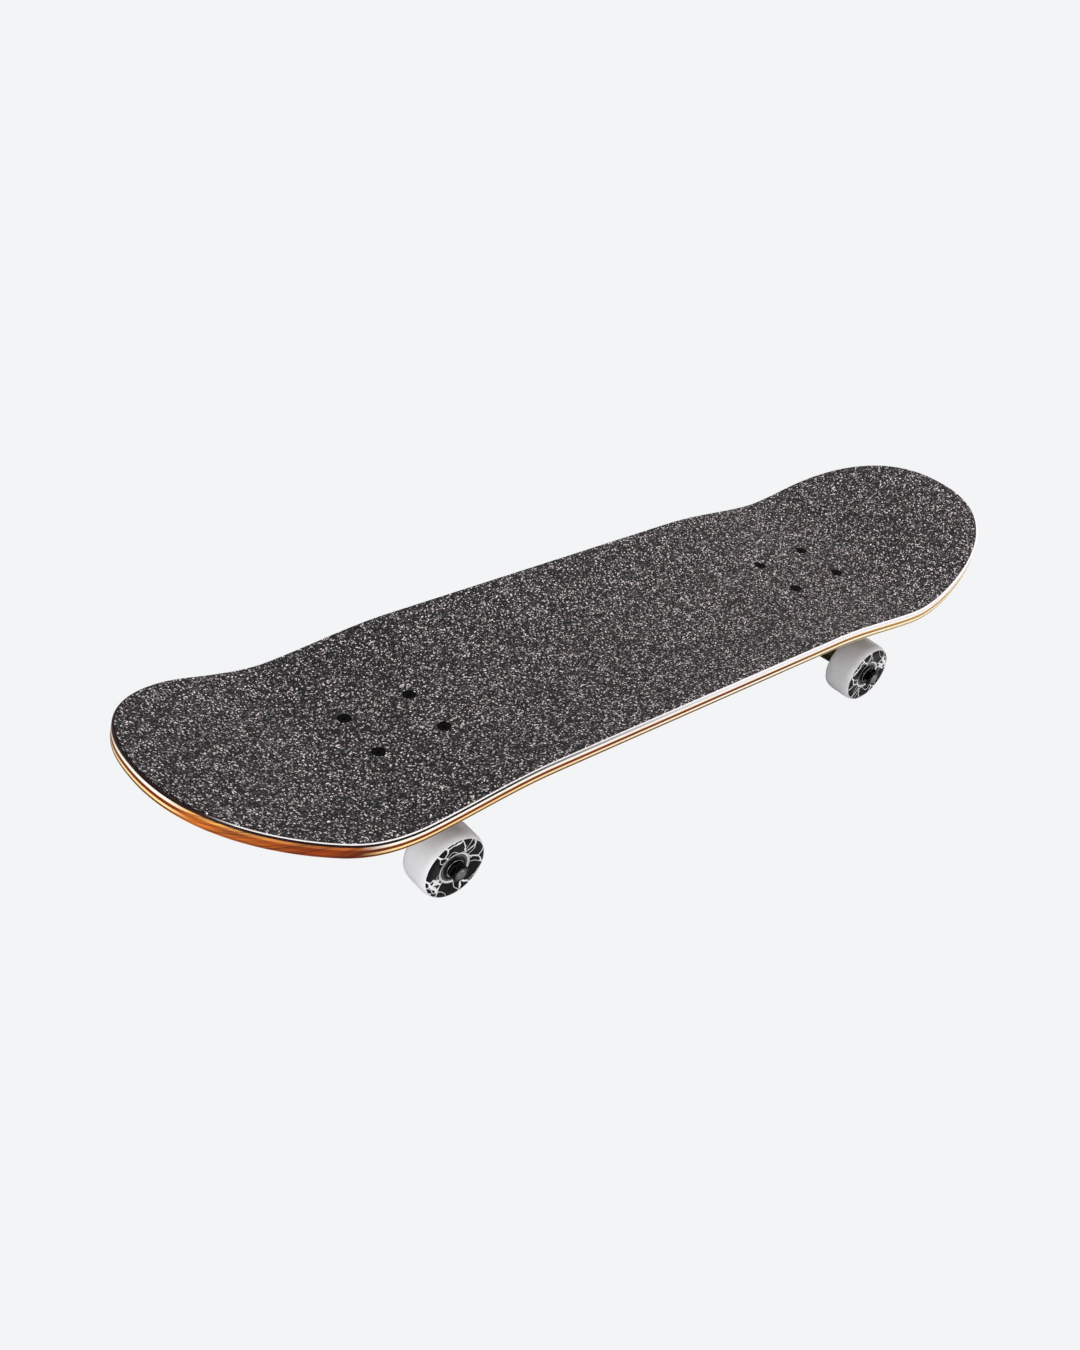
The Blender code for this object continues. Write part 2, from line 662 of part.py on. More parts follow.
def place_turning_half(truck, parts, parent):
    """What the steering turns: hanger, axle, nuts and washers, and an empty for each wheel."""
    steer = empty(f"{truck}_steer_pivot", parent, PIVOT_POINT)
    back = Matrix.Translation(-PIVOT_POINT)
    place(f"{truck}_hanger", parts["hanger"], CAST_METAL, steer, back)
    place(f"{truck}_axle", parts["axle"], STEEL, steer, back @ along(AXLE_POINT, Y_AXIS))
    washer_height = SPEED_WASHER[1]
    inner_face = WHEEL_MIDDLE - BEARING_MIDDLE - BEARING_WIDTH / 2
    outer_face = WHEEL_MIDDLE + BEARING_MIDDLE + BEARING_WIDTH / 2
    for side_name, side in (("left", 1), ("right", -1)):
        local = side if truck == "nose" else -side
        outward = Y_AXIS * local

        def at(distance, mesh_name, node, colour, outward=outward):
            spot = back @ along(AXLE_POINT + outward * distance, outward)
            place(f"{truck}_{side_name}_{node}", parts[mesh_name], colour, steer, spot)

        at(inner_face - GAP - washer_height, "speed_washer", "inner_speed_washer", STEEL)
        at(outer_face + GAP, "speed_washer", "outer_speed_washer", STEEL)
        at(outer_face + 2 * GAP + washer_height, "axle_nut", "axle_nut", BLACK_STEEL)
        hub = empty(f"{truck}_{side_name}_hub", steer, AXLE_POINT + outward * WHEEL_MIDDLE - PIVOT_POINT)
        facing = along((0, 0, 0), outward)
        place(f"{truck}_{side_name}_wheel", parts["wheel"], WHITE_URETHANE, hub, facing)
        for name, offset in (("outer", BEARING_MIDDLE), ("inner", -BEARING_MIDDLE)):
            spot = Matrix.Translation(outward * offset) @ facing
            place(f"{truck}_{side_name}_{name}_bearing", parts["bearing"], BLACK_STEEL, hub, spot)


clear_scene()
BOARD = new_collection("skateboard")
BENCH = new_collection("bench", hidden=True)
MAPLE = material("maple", (0.75, 0.45, 0.20), 0.45)
GRIT = material("grip_grit", (0.045, 0.042, 0.045), 0.9)
CAST_METAL = material("cast_metal", (0.23, 0.21, 0.16), 0.42, 0.9)
STEEL = material("steel", (0.60, 0.60, 0.58), 0.30, 1.0)
BLACK_STEEL = material("black_steel", (0.03, 0.03, 0.03), 0.35, 0.8)
WHITE_URETHANE = material("white_urethane", (0.88, 0.88, 0.88), 0.35)
URETHANE = material("bushing_urethane", (0.04, 0.04, 0.04), 0.5)

PATTERN_MIDDLE = WHEELBASE / 2 + BOLTS_ALONG / 2
TRUCKS = {
    "nose": (WHEELBASE_MIDDLE + PATTERN_MIDDLE, 0.0),
    "tail": (WHEELBASE_MIDDLE - PATTERN_MIDDLE, math.pi),
}

make_deck()
TRUCK_EMPTIES = {
    truck: empty(f"{truck}_truck", None, (middle, 0, BASE_Z), turn)
    for truck, (middle, turn) in TRUCKS.items()
}
make_mounting_hardware(TRUCK_EMPTIES)
TRUCK_PARTS = make_parts()
for truck_name, truck_empty in TRUCK_EMPTIES.items():
    place_fixed_half(truck_name, TRUCK_PARTS, truck_empty)
    place_turning_half(truck_name, TRUCK_PARTS, truck_empty)
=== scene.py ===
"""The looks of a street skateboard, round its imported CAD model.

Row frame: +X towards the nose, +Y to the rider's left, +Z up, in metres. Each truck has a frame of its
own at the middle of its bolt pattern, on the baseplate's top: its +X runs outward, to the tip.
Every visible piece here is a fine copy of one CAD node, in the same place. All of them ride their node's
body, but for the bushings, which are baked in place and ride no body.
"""

import json
import math

import bmesh
import bpy
from mathutils import Matrix, Vector

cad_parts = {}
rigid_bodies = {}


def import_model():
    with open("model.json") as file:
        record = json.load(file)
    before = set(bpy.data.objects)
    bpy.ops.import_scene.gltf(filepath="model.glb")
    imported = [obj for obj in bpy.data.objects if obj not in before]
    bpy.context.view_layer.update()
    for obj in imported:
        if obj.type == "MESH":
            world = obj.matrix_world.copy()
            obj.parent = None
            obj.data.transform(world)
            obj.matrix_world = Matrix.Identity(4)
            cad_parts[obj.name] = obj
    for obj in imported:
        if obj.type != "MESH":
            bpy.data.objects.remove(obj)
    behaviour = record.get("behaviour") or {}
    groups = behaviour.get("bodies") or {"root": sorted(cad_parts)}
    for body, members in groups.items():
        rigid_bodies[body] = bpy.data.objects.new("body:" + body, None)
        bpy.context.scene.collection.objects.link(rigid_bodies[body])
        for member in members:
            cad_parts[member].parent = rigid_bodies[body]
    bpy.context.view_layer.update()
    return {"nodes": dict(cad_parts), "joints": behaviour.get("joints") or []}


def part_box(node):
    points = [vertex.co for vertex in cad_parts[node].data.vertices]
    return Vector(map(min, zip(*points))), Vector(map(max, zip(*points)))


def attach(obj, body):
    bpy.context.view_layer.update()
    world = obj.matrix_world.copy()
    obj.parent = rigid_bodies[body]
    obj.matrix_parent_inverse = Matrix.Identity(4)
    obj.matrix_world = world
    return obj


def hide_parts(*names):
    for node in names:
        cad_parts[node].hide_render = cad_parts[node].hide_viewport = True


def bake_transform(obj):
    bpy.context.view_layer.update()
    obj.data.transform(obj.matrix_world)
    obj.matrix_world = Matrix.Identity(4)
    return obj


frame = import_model()

MM = 0.001
Y_AXIS, Z_AXIS = Vector((0, 1, 0)), Vector((0, 0, 1))

# The boxes give the deck's width, the grip's inset and the heights; the curves repeat the CAD's rules.
DECK_LOW, DECK_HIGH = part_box("deck")
GRIP_LOW, GRIP_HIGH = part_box("grip_tape")
PLATE_LOW, PLATE_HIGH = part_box("nose_baseplate")
DECK_LENGTH = DECK_HIGH.x - DECK_LOW.x
DECK_WIDTH = DECK_HIGH.y - DECK_LOW.y
GRIP_INSET = (DECK_WIDTH - (GRIP_HIGH.y - GRIP_LOW.y)) / 2
BASE_Z = PLATE_HIGH.z
DECK_THICKNESS = 10.6 * MM
DECK_TOP_Z = BASE_Z + 0.3 * MM + DECK_THICKNESS
GRIP_TOP_Z = DECK_TOP_Z + 1.1 * MM
OUTLINE_POWER = {"nose": 2.23, "tail": 2.32}
TAPER_START = {"nose": 269.5 * MM, "tail": 250.0 * MM}
KICK_START = {"nose": 246.6 * MM, "tail": 245.6 * MM}
KICK_ANGLE = {"nose": math.radians(22.0), "tail": math.radians(18.5)}
KICK_RADIUS = 167 * MM
# How far the rim turns with each kick: 0 is upright, 1 is square to the sheet.
RIM_LEAN = {"nose": 0.45, "tail": 0.0}
CONCAVE_RISE = 12.3 * MM
CONCAVE_FLAT = 24 * MM
CONCAVE_POWER = 1.7
CONCAVE_FADE = (148 * MM, 270 * MM)
CONCAVE_LEFT = 0.22
# The rim's stripes, top to bottom: a thin line of painted highlight along the top rounding, over the seven
# plies.
STRIPES = tuple(height * MM for height in (0.3, 1.7, 1.9, 0.4, 2.2, 1.7, 1.4, 1.0))
# Where painted warm shade darkens the rim round the nose's end, as (angle, how much). The angle is in degrees
# from +X, round the point where the nose's taper starts. The second list is where that painted shade is
# deepest, and the third is painted shade on the top highlight line.
NOSE_SHADE = ((-46, 0.0), (-35, 0.5), (-13, 0.5), (-7, 0.0), (15, 0.0), (23, 1.0), (73, 1.0), (85, 0.0))
NOSE_DEEP_SHADE = ((26, 0.0), (56, 1.0))
HIGHLIGHT_LINE_SHADE = ((-180, 1.0), (27, 1.0), (36, 0.0), (175, 0.0), (178, 1.0))
TOP_ROUNDING = 1.2 * MM
BOTTOM_ROUNDING = 1.6 * MM

# Trucks, in their own frames.
JOINTS = {joint["name"]: joint for joint in frame["joints"]}
PLATE_LENGTH = PLATE_HIGH.x - PLATE_LOW.x
PLATE_WIDTH = PLATE_HIGH.y - PLATE_LOW.y
PLATE_THICKNESS = 5.5 * MM
BOLTS_ALONG = 53.98 * MM
BOLTS_ACROSS = 41.28 * MM
PIVOT_POINT = Vector((22, 0, -13)) * MM
RING_POINT = Vector((-12, 0, -29)) * MM
STEM_FOOT = Vector((10, 0, -37)) * MM
KINGPIN_TILT = math.radians(22)
KINGPIN_UP = Vector((math.sin(KINGPIN_TILT), 0, math.cos(KINGPIN_TILT)))
STEM_UP = (PIVOT_POINT - STEM_FOOT).normalized()
GAP = 0.3 * MM
KINGPIN_RADIUS = 4.76 * MM
RING_THICKNESS = 8 * MM
RING_RADIUS = 15 * MM
RING_HOLE = 8 * MM
BOARDSIDE_HEIGHT = 12.7 * MM
ROADSIDE_HEIGHT = 10.8 * MM
CUP_WASHER_HEIGHT = 1.4 * MM
SEAT_HEIGHT = RING_THICKNESS / 2 + BOARDSIDE_HEIGHT + 2 * GAP
HEAD_HEIGHT = SEAT_HEIGHT + 5.2 * MM
AXLE_RADIUS = 3.97 * MM
CUP_RADIUS = 8.3 * MM
CUP_DEPTH = 6.2 * MM
CUP_BORE = 6.6 * MM


# ---------------------------------------------------------------- meshes


def to_mesh(name, shape):
    mesh = bpy.data.meshes.new(name)
    bmesh.ops.recalc_face_normals(shape, faces=shape.faces[:])
    shape.to_mesh(mesh)
    shape.free()
    return mesh


def smooth(mesh, degrees=40):
    mesh.shade_smooth()
    mesh.set_sharp_from_angle(angle=math.radians(degrees))
    return mesh


def rounded(profile, closed):
    """A profile's (r, z) points, with a small curve at each corner that has a radius: (r, z, radius)."""
    result = []
    for i, (r, z, radius) in enumerate(profile):
        corner = Vector((r, z))
        at_end = not closed and i in (0, len(profile) - 1)
        if radius == 0 or at_end:
            result.append(corner)
            continue
        before = Vector(profile[i - 1][:2]) - corner
        after = Vector(profile[(i + 1) % len(profile)][:2]) - corner
        a = corner + before.normalized() * min(radius, before.length * 0.48)
        b = corner + after.normalized() * min(radius, after.length * 0.48)
        for step in range(6):
            t = step / 5
            result.append(a * (1 - t) ** 2 + corner * 2 * t * (1 - t) + b * t**2)
    return result


def lathe(name, profile, segments=64, paint=None):
    """A turned mesh about Z, from (r, z, corner radius) points. paint gives a face's material from (r, z)."""
    closed = profile[0][0] > 0
    points = rounded(profile, closed)
    shape = bmesh.new()
    verts = [shape.verts.new((p.x, 0, p.y)) for p in points]
    edges = [shape.edges.new(pair) for pair in zip(verts, verts[1:])]
    if closed:
        edges.append(shape.edges.new((verts[-1], verts[0])))
    bmesh.ops.spin(
        shape, geom=verts + edges, axis=Z_AXIS, cent=(0, 0, 0), steps=segments, angle=math.tau
    )
    bmesh.ops.remove_doubles(shape, verts=shape.verts[:], dist=1e-6)
    if paint:
        for face in shape.faces:
            middle = face.calc_center_median()
            face.material_index = paint(math.hypot(middle.x, middle.y), middle.z)
    return smooth(to_mesh(name, shape))


def thread(radius, top, bottom, pitch, depth):
    """Profile points of a thread's grooves, from top down to bottom."""
    turns = max(1, round((top - bottom) / pitch))
    step = (top - bottom) / turns
    points = []
    for k in range(turns):
        points.append((radius, top - k * step, 0))
        points.append((radius - depth, top - (k + 0.5) * step, 0))
    return points


def along(point, direction):
    """A frame at a point, with its Z along a direction."""
    turn = Z_AXIS.rotation_difference(Vector(direction)).to_matrix().to_4x4()
    return Matrix.Translation(Vector(point)) @ turn


class Bench:
    """Helper objects that are joined and cut into one mesh, then thrown away."""

    def __init__(self):
        self.objects = []

    def add(self, mesh, matrix=None):
        obj = bpy.data.objects.new("bench_" + mesh.name, mesh)
        bpy.context.scene.collection.objects.link(obj)
        obj.matrix_world = matrix or Matrix.Identity(4)
        self.objects.append(obj)
        return obj

    def cone(self, low_radius, high_radius, low, high, matrix=None, segments=64):
        shape = bmesh.new()
        middle = Matrix.Translation((0, 0, (low + high) / 2))
        bmesh.ops.create_cone(
            shape, cap_ends=True, segments=segments, radius1=low_radius, radius2=high_radius,
            depth=high - low, matrix=middle,
        )
        return self.add(to_mesh("cone", shape), matrix)

    def box(self, size, matrix=None, corner=0.0):
        shape = bmesh.new()
        bmesh.ops.create_cube(shape, size=1.0)
        bmesh.ops.scale(shape, vec=size, verts=shape.verts)
        if corner:
            upright = [e for e in shape.edges if abs(e.verts[0].co.z - e.verts[1].co.z) > size[2] / 2]
            bmesh.ops.bevel(shape, geom=upright, offset=corner, segments=8, profile=0.5, affect="EDGES")
        return self.add(to_mesh("box", shape), matrix)

    def boolean(self, obj, other, operation="DIFFERENCE"):
        modifier = obj.modifiers.new("boolean", "BOOLEAN")
        modifier.operation = operation
        modifier.object = other

    def baked(self, obj, name):
        bpy.context.view_layer.update()
        graph = bpy.context.evaluated_depsgraph_get()
        mesh = bpy.data.meshes.new_from_object(obj.evaluated_get(graph))
        mesh.name = name
        mesh.transform(obj.matrix_world)
        return mesh

    def clear(self):
        for obj in self.objects:
            bpy.data.objects.remove(obj)
        self.objects = []

    def cast(self, name, voxel, rounds):
        """All the bench's solids grown into one casting, with soft fillets where they meet."""
        shape = bmesh.new()
        for obj in self.objects:
            copy = obj.data.copy()
            copy.transform(obj.matrix_world)
            shape.from_mesh(copy)
        self.clear()
        obj = self.add(to_mesh(name, shape))
        remesh = obj.modifiers.new("Cast", "REMESH")
        remesh.mode = "VOXEL"
        remesh.voxel_size = voxel
        relax = obj.modifiers.new("Fillet", "SMOOTH")
        relax.factor = 0.5
        relax.iterations = rounds
        return obj


def piece(name, mesh, materials, body, nodes, matrix=None, bend=None):
    """A finished piece, standing for CAD nodes. It rides on a body.

    With bend, (other body, start, end), it rides no body: its place is baked into its mesh, and the body and
    ends in bend are not used.
    """
    if not mesh.materials:
        for material in materials:
            mesh.materials.append(material)
    obj = bpy.data.objects.new(name, mesh)
    bpy.context.scene.collection.objects.link(obj)
    obj.matrix_world = matrix or Matrix.Identity(4)
    if bend:
        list(bend)
        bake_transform(obj)
    else:
        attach(obj, body)
    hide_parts(*nodes)
    return obj


# ---------------------------------------------------------------- materials


def rgb(r, g, b):
    return (r, g, b, 1.0)


BUMP_DEPTH = 0.2 * MM
GRAIN_DEPTH = 0.3 * MM
# Painted warm shade on the rim round the nose: darker along the grain's streaks, and darker again round the
# nose's left side.
DARK_STREAK = 0.25
DEEP_SHADE_TINT = rgb(0.48, 0.28, 0.22)


class Surface:
    """A material on one Principled shader, and short calls to add nodes to it."""

    def __init__(self, name, colour=(0.8, 0.8, 0.8), roughness=0.5, metallic=0.0, **more):
        self.material = bpy.data.materials.new(name)
        self.material.use_nodes = True
        self.tree = self.material.node_tree
        self.shader = self.tree.nodes["Principled BSDF"]
        self.set("Base Color", (*colour, 1.0))
        self.set("Roughness", roughness)
        self.set("Metallic", metallic)
        for socket, value in more.items():
            self.set(socket.replace("_", " "), value)

    def set(self, socket, value):
        if isinstance(value, bpy.types.NodeSocket):
            self.tree.links.new(value, self.shader.inputs[socket])
        else:
            self.shader.inputs[socket].default_value = value

    def node(self, kind, inputs=None, output=0, **settings):
        """Adds a node and returns one of its outputs. Inputs are values or other nodes' outputs."""
        node = self.tree.nodes.new("ShaderNode" + kind)
        for key, value in settings.items():
            setattr(node, key, value)
        for key, value in (inputs or {}).items():
            if isinstance(value, bpy.types.NodeSocket):
                self.tree.links.new(value, node.inputs[key])
            else:
                node.inputs[key].default_value = value
        return node.outputs[output]

    def place(self, scale=(1, 1, 1)):
        """The piece's own coordinates, in metres, times scale."""
        here = self.node("TexCoord", output="Object")
        return self.node("Mapping", {"Vector": here, "Scale": scale})

    def noise(self, vector, scale=1.0, detail=3.0, roughness=0.55):
        values = {"Vector": vector, "Scale": scale, "Detail": detail, "Roughness": roughness}
        return self.node("TexNoise", values)

    def ramp(self, value, stops):
        """A colour ramp from (place, colour) stops."""
        out = self.node("ValToRGB", {"Fac": value})
        elements = out.node.color_ramp.elements
        elements.remove(elements[1])
        for i, (place, colour) in enumerate(stops):
            element = elements.new(place) if i else elements[0]
            element.position = place
            shade = colour if isinstance(colour, tuple) else (colour,) * 3
            element.color = (*shade, 1.0)
        return out

    def math(self, operation, a, b=0.0):
        return self.node("Math", {0: a, 1: b}, operation=operation)

    def mix(self, share, a, b, blend="MIX"):
        values = {"Factor": share, "A": a, "B": b}
        node = self.tree.nodes.new("ShaderNodeMix")
        node.data_type = "RGBA"
        node.blend_type = blend
        for key, value in values.items():
            socket = next(s for s in node.inputs if s.name == key and s.enabled)
            if isinstance(value, bpy.types.NodeSocket):
                self.tree.links.new(value, socket)
            else:
                socket.default_value = value
        return next(s for s in node.outputs if s.enabled)

    def bump(self, height, strength, distance=BUMP_DEPTH):
        values = {"Height": height, "Strength": strength, "Distance": distance}
        self.set("Normal", self.node("Bump", values))


def wood(name, light, dark, nose_shade_tone, tail=None, sheen_span=(-0.025, 0.19), where=NOSE_SHADE):
    """Maple ply: long grain along X in two tones, and a painted warm shade round the nose.

    tail is a painted sheen: the paler tone that the ply turns to towards the tail, between the two places in
    the argument after it, in metres along the deck.
    """
    made = Surface(name, roughness=0.45, Specular_IOR_Level=0.12)
    streaks = made.noise(made.place((24, 24, 900)), detail=5.0, roughness=0.6)
    clouds = made.noise(made.place((7, 7, 60)), detail=2.0)
    grain = made.math("ADD", made.math("MULTIPLY", streaks, 0.7), made.math("MULTIPLY", clouds, 0.3))
    tone = made.mix(made.ramp(grain, [(0.38, 0.0), (0.62, 1.0)]), rgb(*light), rgb(*dark))
    here = made.node("SeparateXYZ", {"Vector": made.place()})
    # Ramps run from 0 to 1, so places along the deck are taken from half a metre behind its middle.
    behind = 0.5
    # Painted sheen: the ply turns paler towards the tail, where its rim catches the light at a glancing
    # angle.
    if tail:
        full, none = (x + behind for x in sheen_span)
        sheen_share = made.ramp(made.math("ADD", here, behind), [(full, 1.0), (none, 0.0)])
        tone = made.mix(sheen_share, tone, rgb(*tail))
    ahead = made.math("SUBTRACT", here, TAPER_START["nose"])
    angle = made.math("ARCTAN2", here.node.outputs["Y"], ahead)
    turn = made.math("ADD", made.math("DIVIDE", angle, math.tau), 0.5)

    def by_angle(stops):
        return made.ramp(turn, [(0.5 + degrees / 360, much) for degrees, much in stops])

    # Painted warm shade round the nose's end, chosen by the angle round the taper's start.
    share = by_angle(where)
    streak = rgb(*(c * DARK_STREAK for c in nose_shade_tone))
    shaded_tone = made.mix(made.ramp(grain, [(0.44, 0.0), (0.60, 1.0)]), rgb(*nose_shade_tone), streak)
    shaded_tone = made.mix(by_angle(NOSE_DEEP_SHADE), shaded_tone, DEEP_SHADE_TINT, "MULTIPLY")
    made.set("Base Color", made.mix(share, tone, shaded_tone))
    made.bump(streaks, 0.12)
    return made.material


def stained_bottom():
    """The deck's amber-stained underside: cathedral grain under a satin lacquer."""
    made = Surface("stained_bottom", roughness=0.36, Coat_Weight=0.35, Coat_Roughness=0.26)
    warp = made.noise(made.place((2.2, 9, 9)), detail=2.0)
    place = made.node("SeparateXYZ", {"Vector": made.place()}, output="Y")
    bands = made.math("ADD", made.math("MULTIPLY", place, 60.0), made.math("MULTIPLY", warp, 9.0))
    rings = made.math("FRACT", bands)
    fibres = made.noise(made.place((14, 900, 900)), detail=5.0, roughness=0.65)
    grain = made.math("ADD", made.math("MULTIPLY", rings, 0.35), made.math("MULTIPLY", fibres, 0.65))
    stops = [(0.3, (0.10, 0.045, 0.016)), (0.5, (0.20, 0.095, 0.034)), (0.75, (0.30, 0.16, 0.06))]
    made.set("Base Color", made.ramp(grain, stops))
    made.bump(fibres, 0.1)
    return made.material


def grit():
    """Grip tape: black grains in many greys, a few of them catching the light."""
    made = Surface("grip_grit", roughness=0.8, Specular_IOR_Level=0.3)
    here = made.place()
    cells = made.node("TexVoronoi", {"Vector": here, "Scale": 1100.0}, output="Color")
    split = made.node("SeparateColor", {"Color": cells})
    stops = [(0.0, 0.001), (0.42, 0.003), (0.68, 0.020), (0.86, 0.14), (0.95, 0.60), (0.99, 1.0)]
    shade = made.ramp(split, stops)
    hue = made.node("TexVoronoi", {"Vector": here, "Scale": 760.0}, output="Color")
    tint = made.mix(0.2, rgb(1.0, 0.9, 0.92), hue)
    worn = made.ramp(made.noise(made.place((6, 12, 12)), detail=3.0), [(0.35, 0.94), (0.7, 1.06)])
    colour = made.mix(1.0, shade, tint, "MULTIPLY")
    made.set("Base Color", made.mix(1.0, colour, worn, "MULTIPLY"))
    made.bump(split, 0.5, GRAIN_DEPTH)
    return made.material


def urethane():
    """White wheel urethane: satin, with faint mould swirls."""
    made = Surface("wheel_urethane", roughness=0.34, Subsurface_Weight=0.06)
    made.set("Subsurface Radius", (0.004, 0.004, 0.0035))
    clouds = made.noise(made.place(), scale=90.0, detail=4.0)
    made.set("Base Color", made.ramp(clouds, [(0.3, (0.76, 0.77, 0.79)), (0.7, (0.83, 0.84, 0.86))]))
    pores = made.noise(made.place(), scale=1500.0, detail=2.0)
    made.set("Roughness", made.ramp(clouds, [(0.3, 0.28), (0.75, 0.42)]))
    made.bump(pores, 0.05)
    return made.material


def printed_face(inner, outer):
    """The wheel's outer face: a ring of black crackle, printed between two radii on white urethane."""
    made = Surface("wheel_print", roughness=0.3, Specular_IOR_Level=0.08)
    here = made.place()
    flat = made.node("Mapping", {"Vector": here, "Scale": (1, 1, 0)})
    bend = made.noise(flat, scale=70.0, detail=0.0)
    sway = made.node("TexNoise", {"Vector": flat, "Scale": 190.0, "Detail": 1.0}, output="Color")
    warped = made.node("VectorMath", {0: sway, 1: (0.004,) * 3, 2: flat}, operation="MULTIPLY_ADD")
    cells = {"Vector": warped, "Scale": 64.0, "Randomness": 0.85}
    gap = made.node("TexVoronoi", cells, feature="DISTANCE_TO_EDGE")
    vein = made.math("ABSOLUTE", made.math("SUBTRACT", bend, 0.5))
    ink = made.math("MULTIPLY", made.math("GREATER_THAN", gap, 0.03), made.math("GREATER_THAN", vein, 0.008))
    radius = made.node("VectorMath", {0: flat}, output="Value", operation="LENGTH")
    inside = made.math("GREATER_THAN", radius, inner)
    within = made.math("LESS_THAN", radius, outer)
    ring = made.math("MULTIPLY", inside, within)
    ink = made.math("MULTIPLY", ink, ring)
    mottle = made.ramp(bend, [(0.3, (0.80, 0.80, 0.81)), (0.7, (0.87, 0.87, 0.875))])
    made.set("Base Color", made.mix(ink, mottle, rgb(0.006, 0.006, 0.007)))
    made.set("Roughness", made.math("SUBTRACT", 0.34, made.math("MULTIPLY", ink, 0.08)))
    return made.material


def metal(name, colour, roughness, grain=900.0, strength=0.08, spread=0.12):
    """A metal with a fine grain and uneven polish."""
    made = Surface(name, colour, metallic=1.0)
    clouds = made.noise(made.place(), scale=120.0, detail=4.0)
    fine = made.noise(made.place(), scale=grain, detail=3.0)
    low, high = max(0.05, roughness - spread), roughness + spread
    made.set("Roughness", made.ramp(clouds, [(0.3, low), (0.7, high)]))
    darker = tuple(c * 0.82 for c in colour)
    made.set("Base Color", made.mix(clouds, rgb(*darker), rgb(*colour)))
    made.bump(fine, strength)
    return made.material


def rubber(name, colour, roughness, lift=0.01, shine=0.5):
    """Bushing and shield rubber, with a moulded bloom."""
    made = Surface(name, colour, roughness, Specular_IOR_Level=shine)
    clouds = made.noise(made.place(), scale=200.0, detail=3.0)
    lighter = tuple(min(1.0, c * 1.35 + lift) for c in colour)
    made.set("Base Color", made.mix(clouds, rgb(*colour), rgb(*lighter)))
    made.set("Roughness", made.ramp(clouds, [(0.3, roughness - 0.08), (0.7, roughness + 0.1)]))
    made.bump(made.noise(made.place(), scale=1800.0), 0.06)
    return made.material


# ---------------------------------------------------------------- the deck and its grip tape


def end_of(x):
    return "nose" if x >= 0 else "tail"


def half_width(x):
    taper = TAPER_START[end_of(x)]
    past = max(0.0, (abs(x) - taper) / (DECK_LENGTH / 2 - taper))
    power = OUTLINE_POWER[end_of(x)]
    return DECK_WIDTH / 2 * max(0.0, 1 - past**power) ** (1 / power)


def rise(x, y):
    """How far the deck's upper face is above its middle strip: the kick and the concave."""
    angle = KICK_ANGLE[end_of(x)]
    past = max(0.0, abs(x) - KICK_START[end_of(x)])
    bend = KICK_RADIUS * math.sin(angle)
    if past < bend:
        kick = KICK_RADIUS - math.sqrt(KICK_RADIUS**2 - past**2)
    else:
        kick = KICK_RADIUS * (1 - math.cos(angle)) + (past - bend) * math.tan(angle)
    first, last = CONCAVE_FADE
    t = min(1.0, max(0.0, (abs(x) - first) / (last - first)))
    share = 1 + (CONCAVE_LEFT - 1) * t * t * (3 - 2 * t)
    beside = max(0.0, abs(y) - CONCAVE_FLAT) / (DECK_WIDTH / 2 - CONCAVE_FLAT)
    return kick + CONCAVE_RISE * share * beside**CONCAVE_POWER


def lean(x, y):
    """How much longer the way straight down through the sheet is at (x, y) than its thickness."""
    step = 0.5 * MM
    dx = (rise(x + step, y) - rise(x - step, y)) / (2 * step)
    dy = (rise(x, y + step) - rise(x, y - step)) / (2 * step)
    return math.sqrt(1 + dx * dx + dy * dy)


def outline(end_steps=56, middle_steps=64):
    """The left half of the outline, tail tip to nose tip, as (point, inward direction) in X and Y."""
    xs = []
    for end, way in (("tail", -1), ("nose", 1)):
        taper = TAPER_START[end]
        reach = DECK_LENGTH / 2 - taper
        turns = [math.pi / 2 * i / end_steps for i in range(end_steps + 1)]
        side = [way * (taper + reach * math.sin(a) ** (2 / OUTLINE_POWER[end])) for a in turns]
        if way < 0:
            xs += reversed(side)
            continue
        first = xs[-1]
        gap = side[0] - first
        xs += [first + gap * i / middle_steps for i in range(1, middle_steps)] + side
    points = [Vector((x, half_width(x))) for x in xs]
    result = []
    for i, point in enumerate(points):
        if i in (0, len(points) - 1):
            result.append((point, Vector((1.0 if i == 0 else -1.0, 0.0))))
            continue
        way = (points[i + 1] - points[i - 1]).normalized()
        result.append((point, Vector((way.y, -way.x))))
    return result


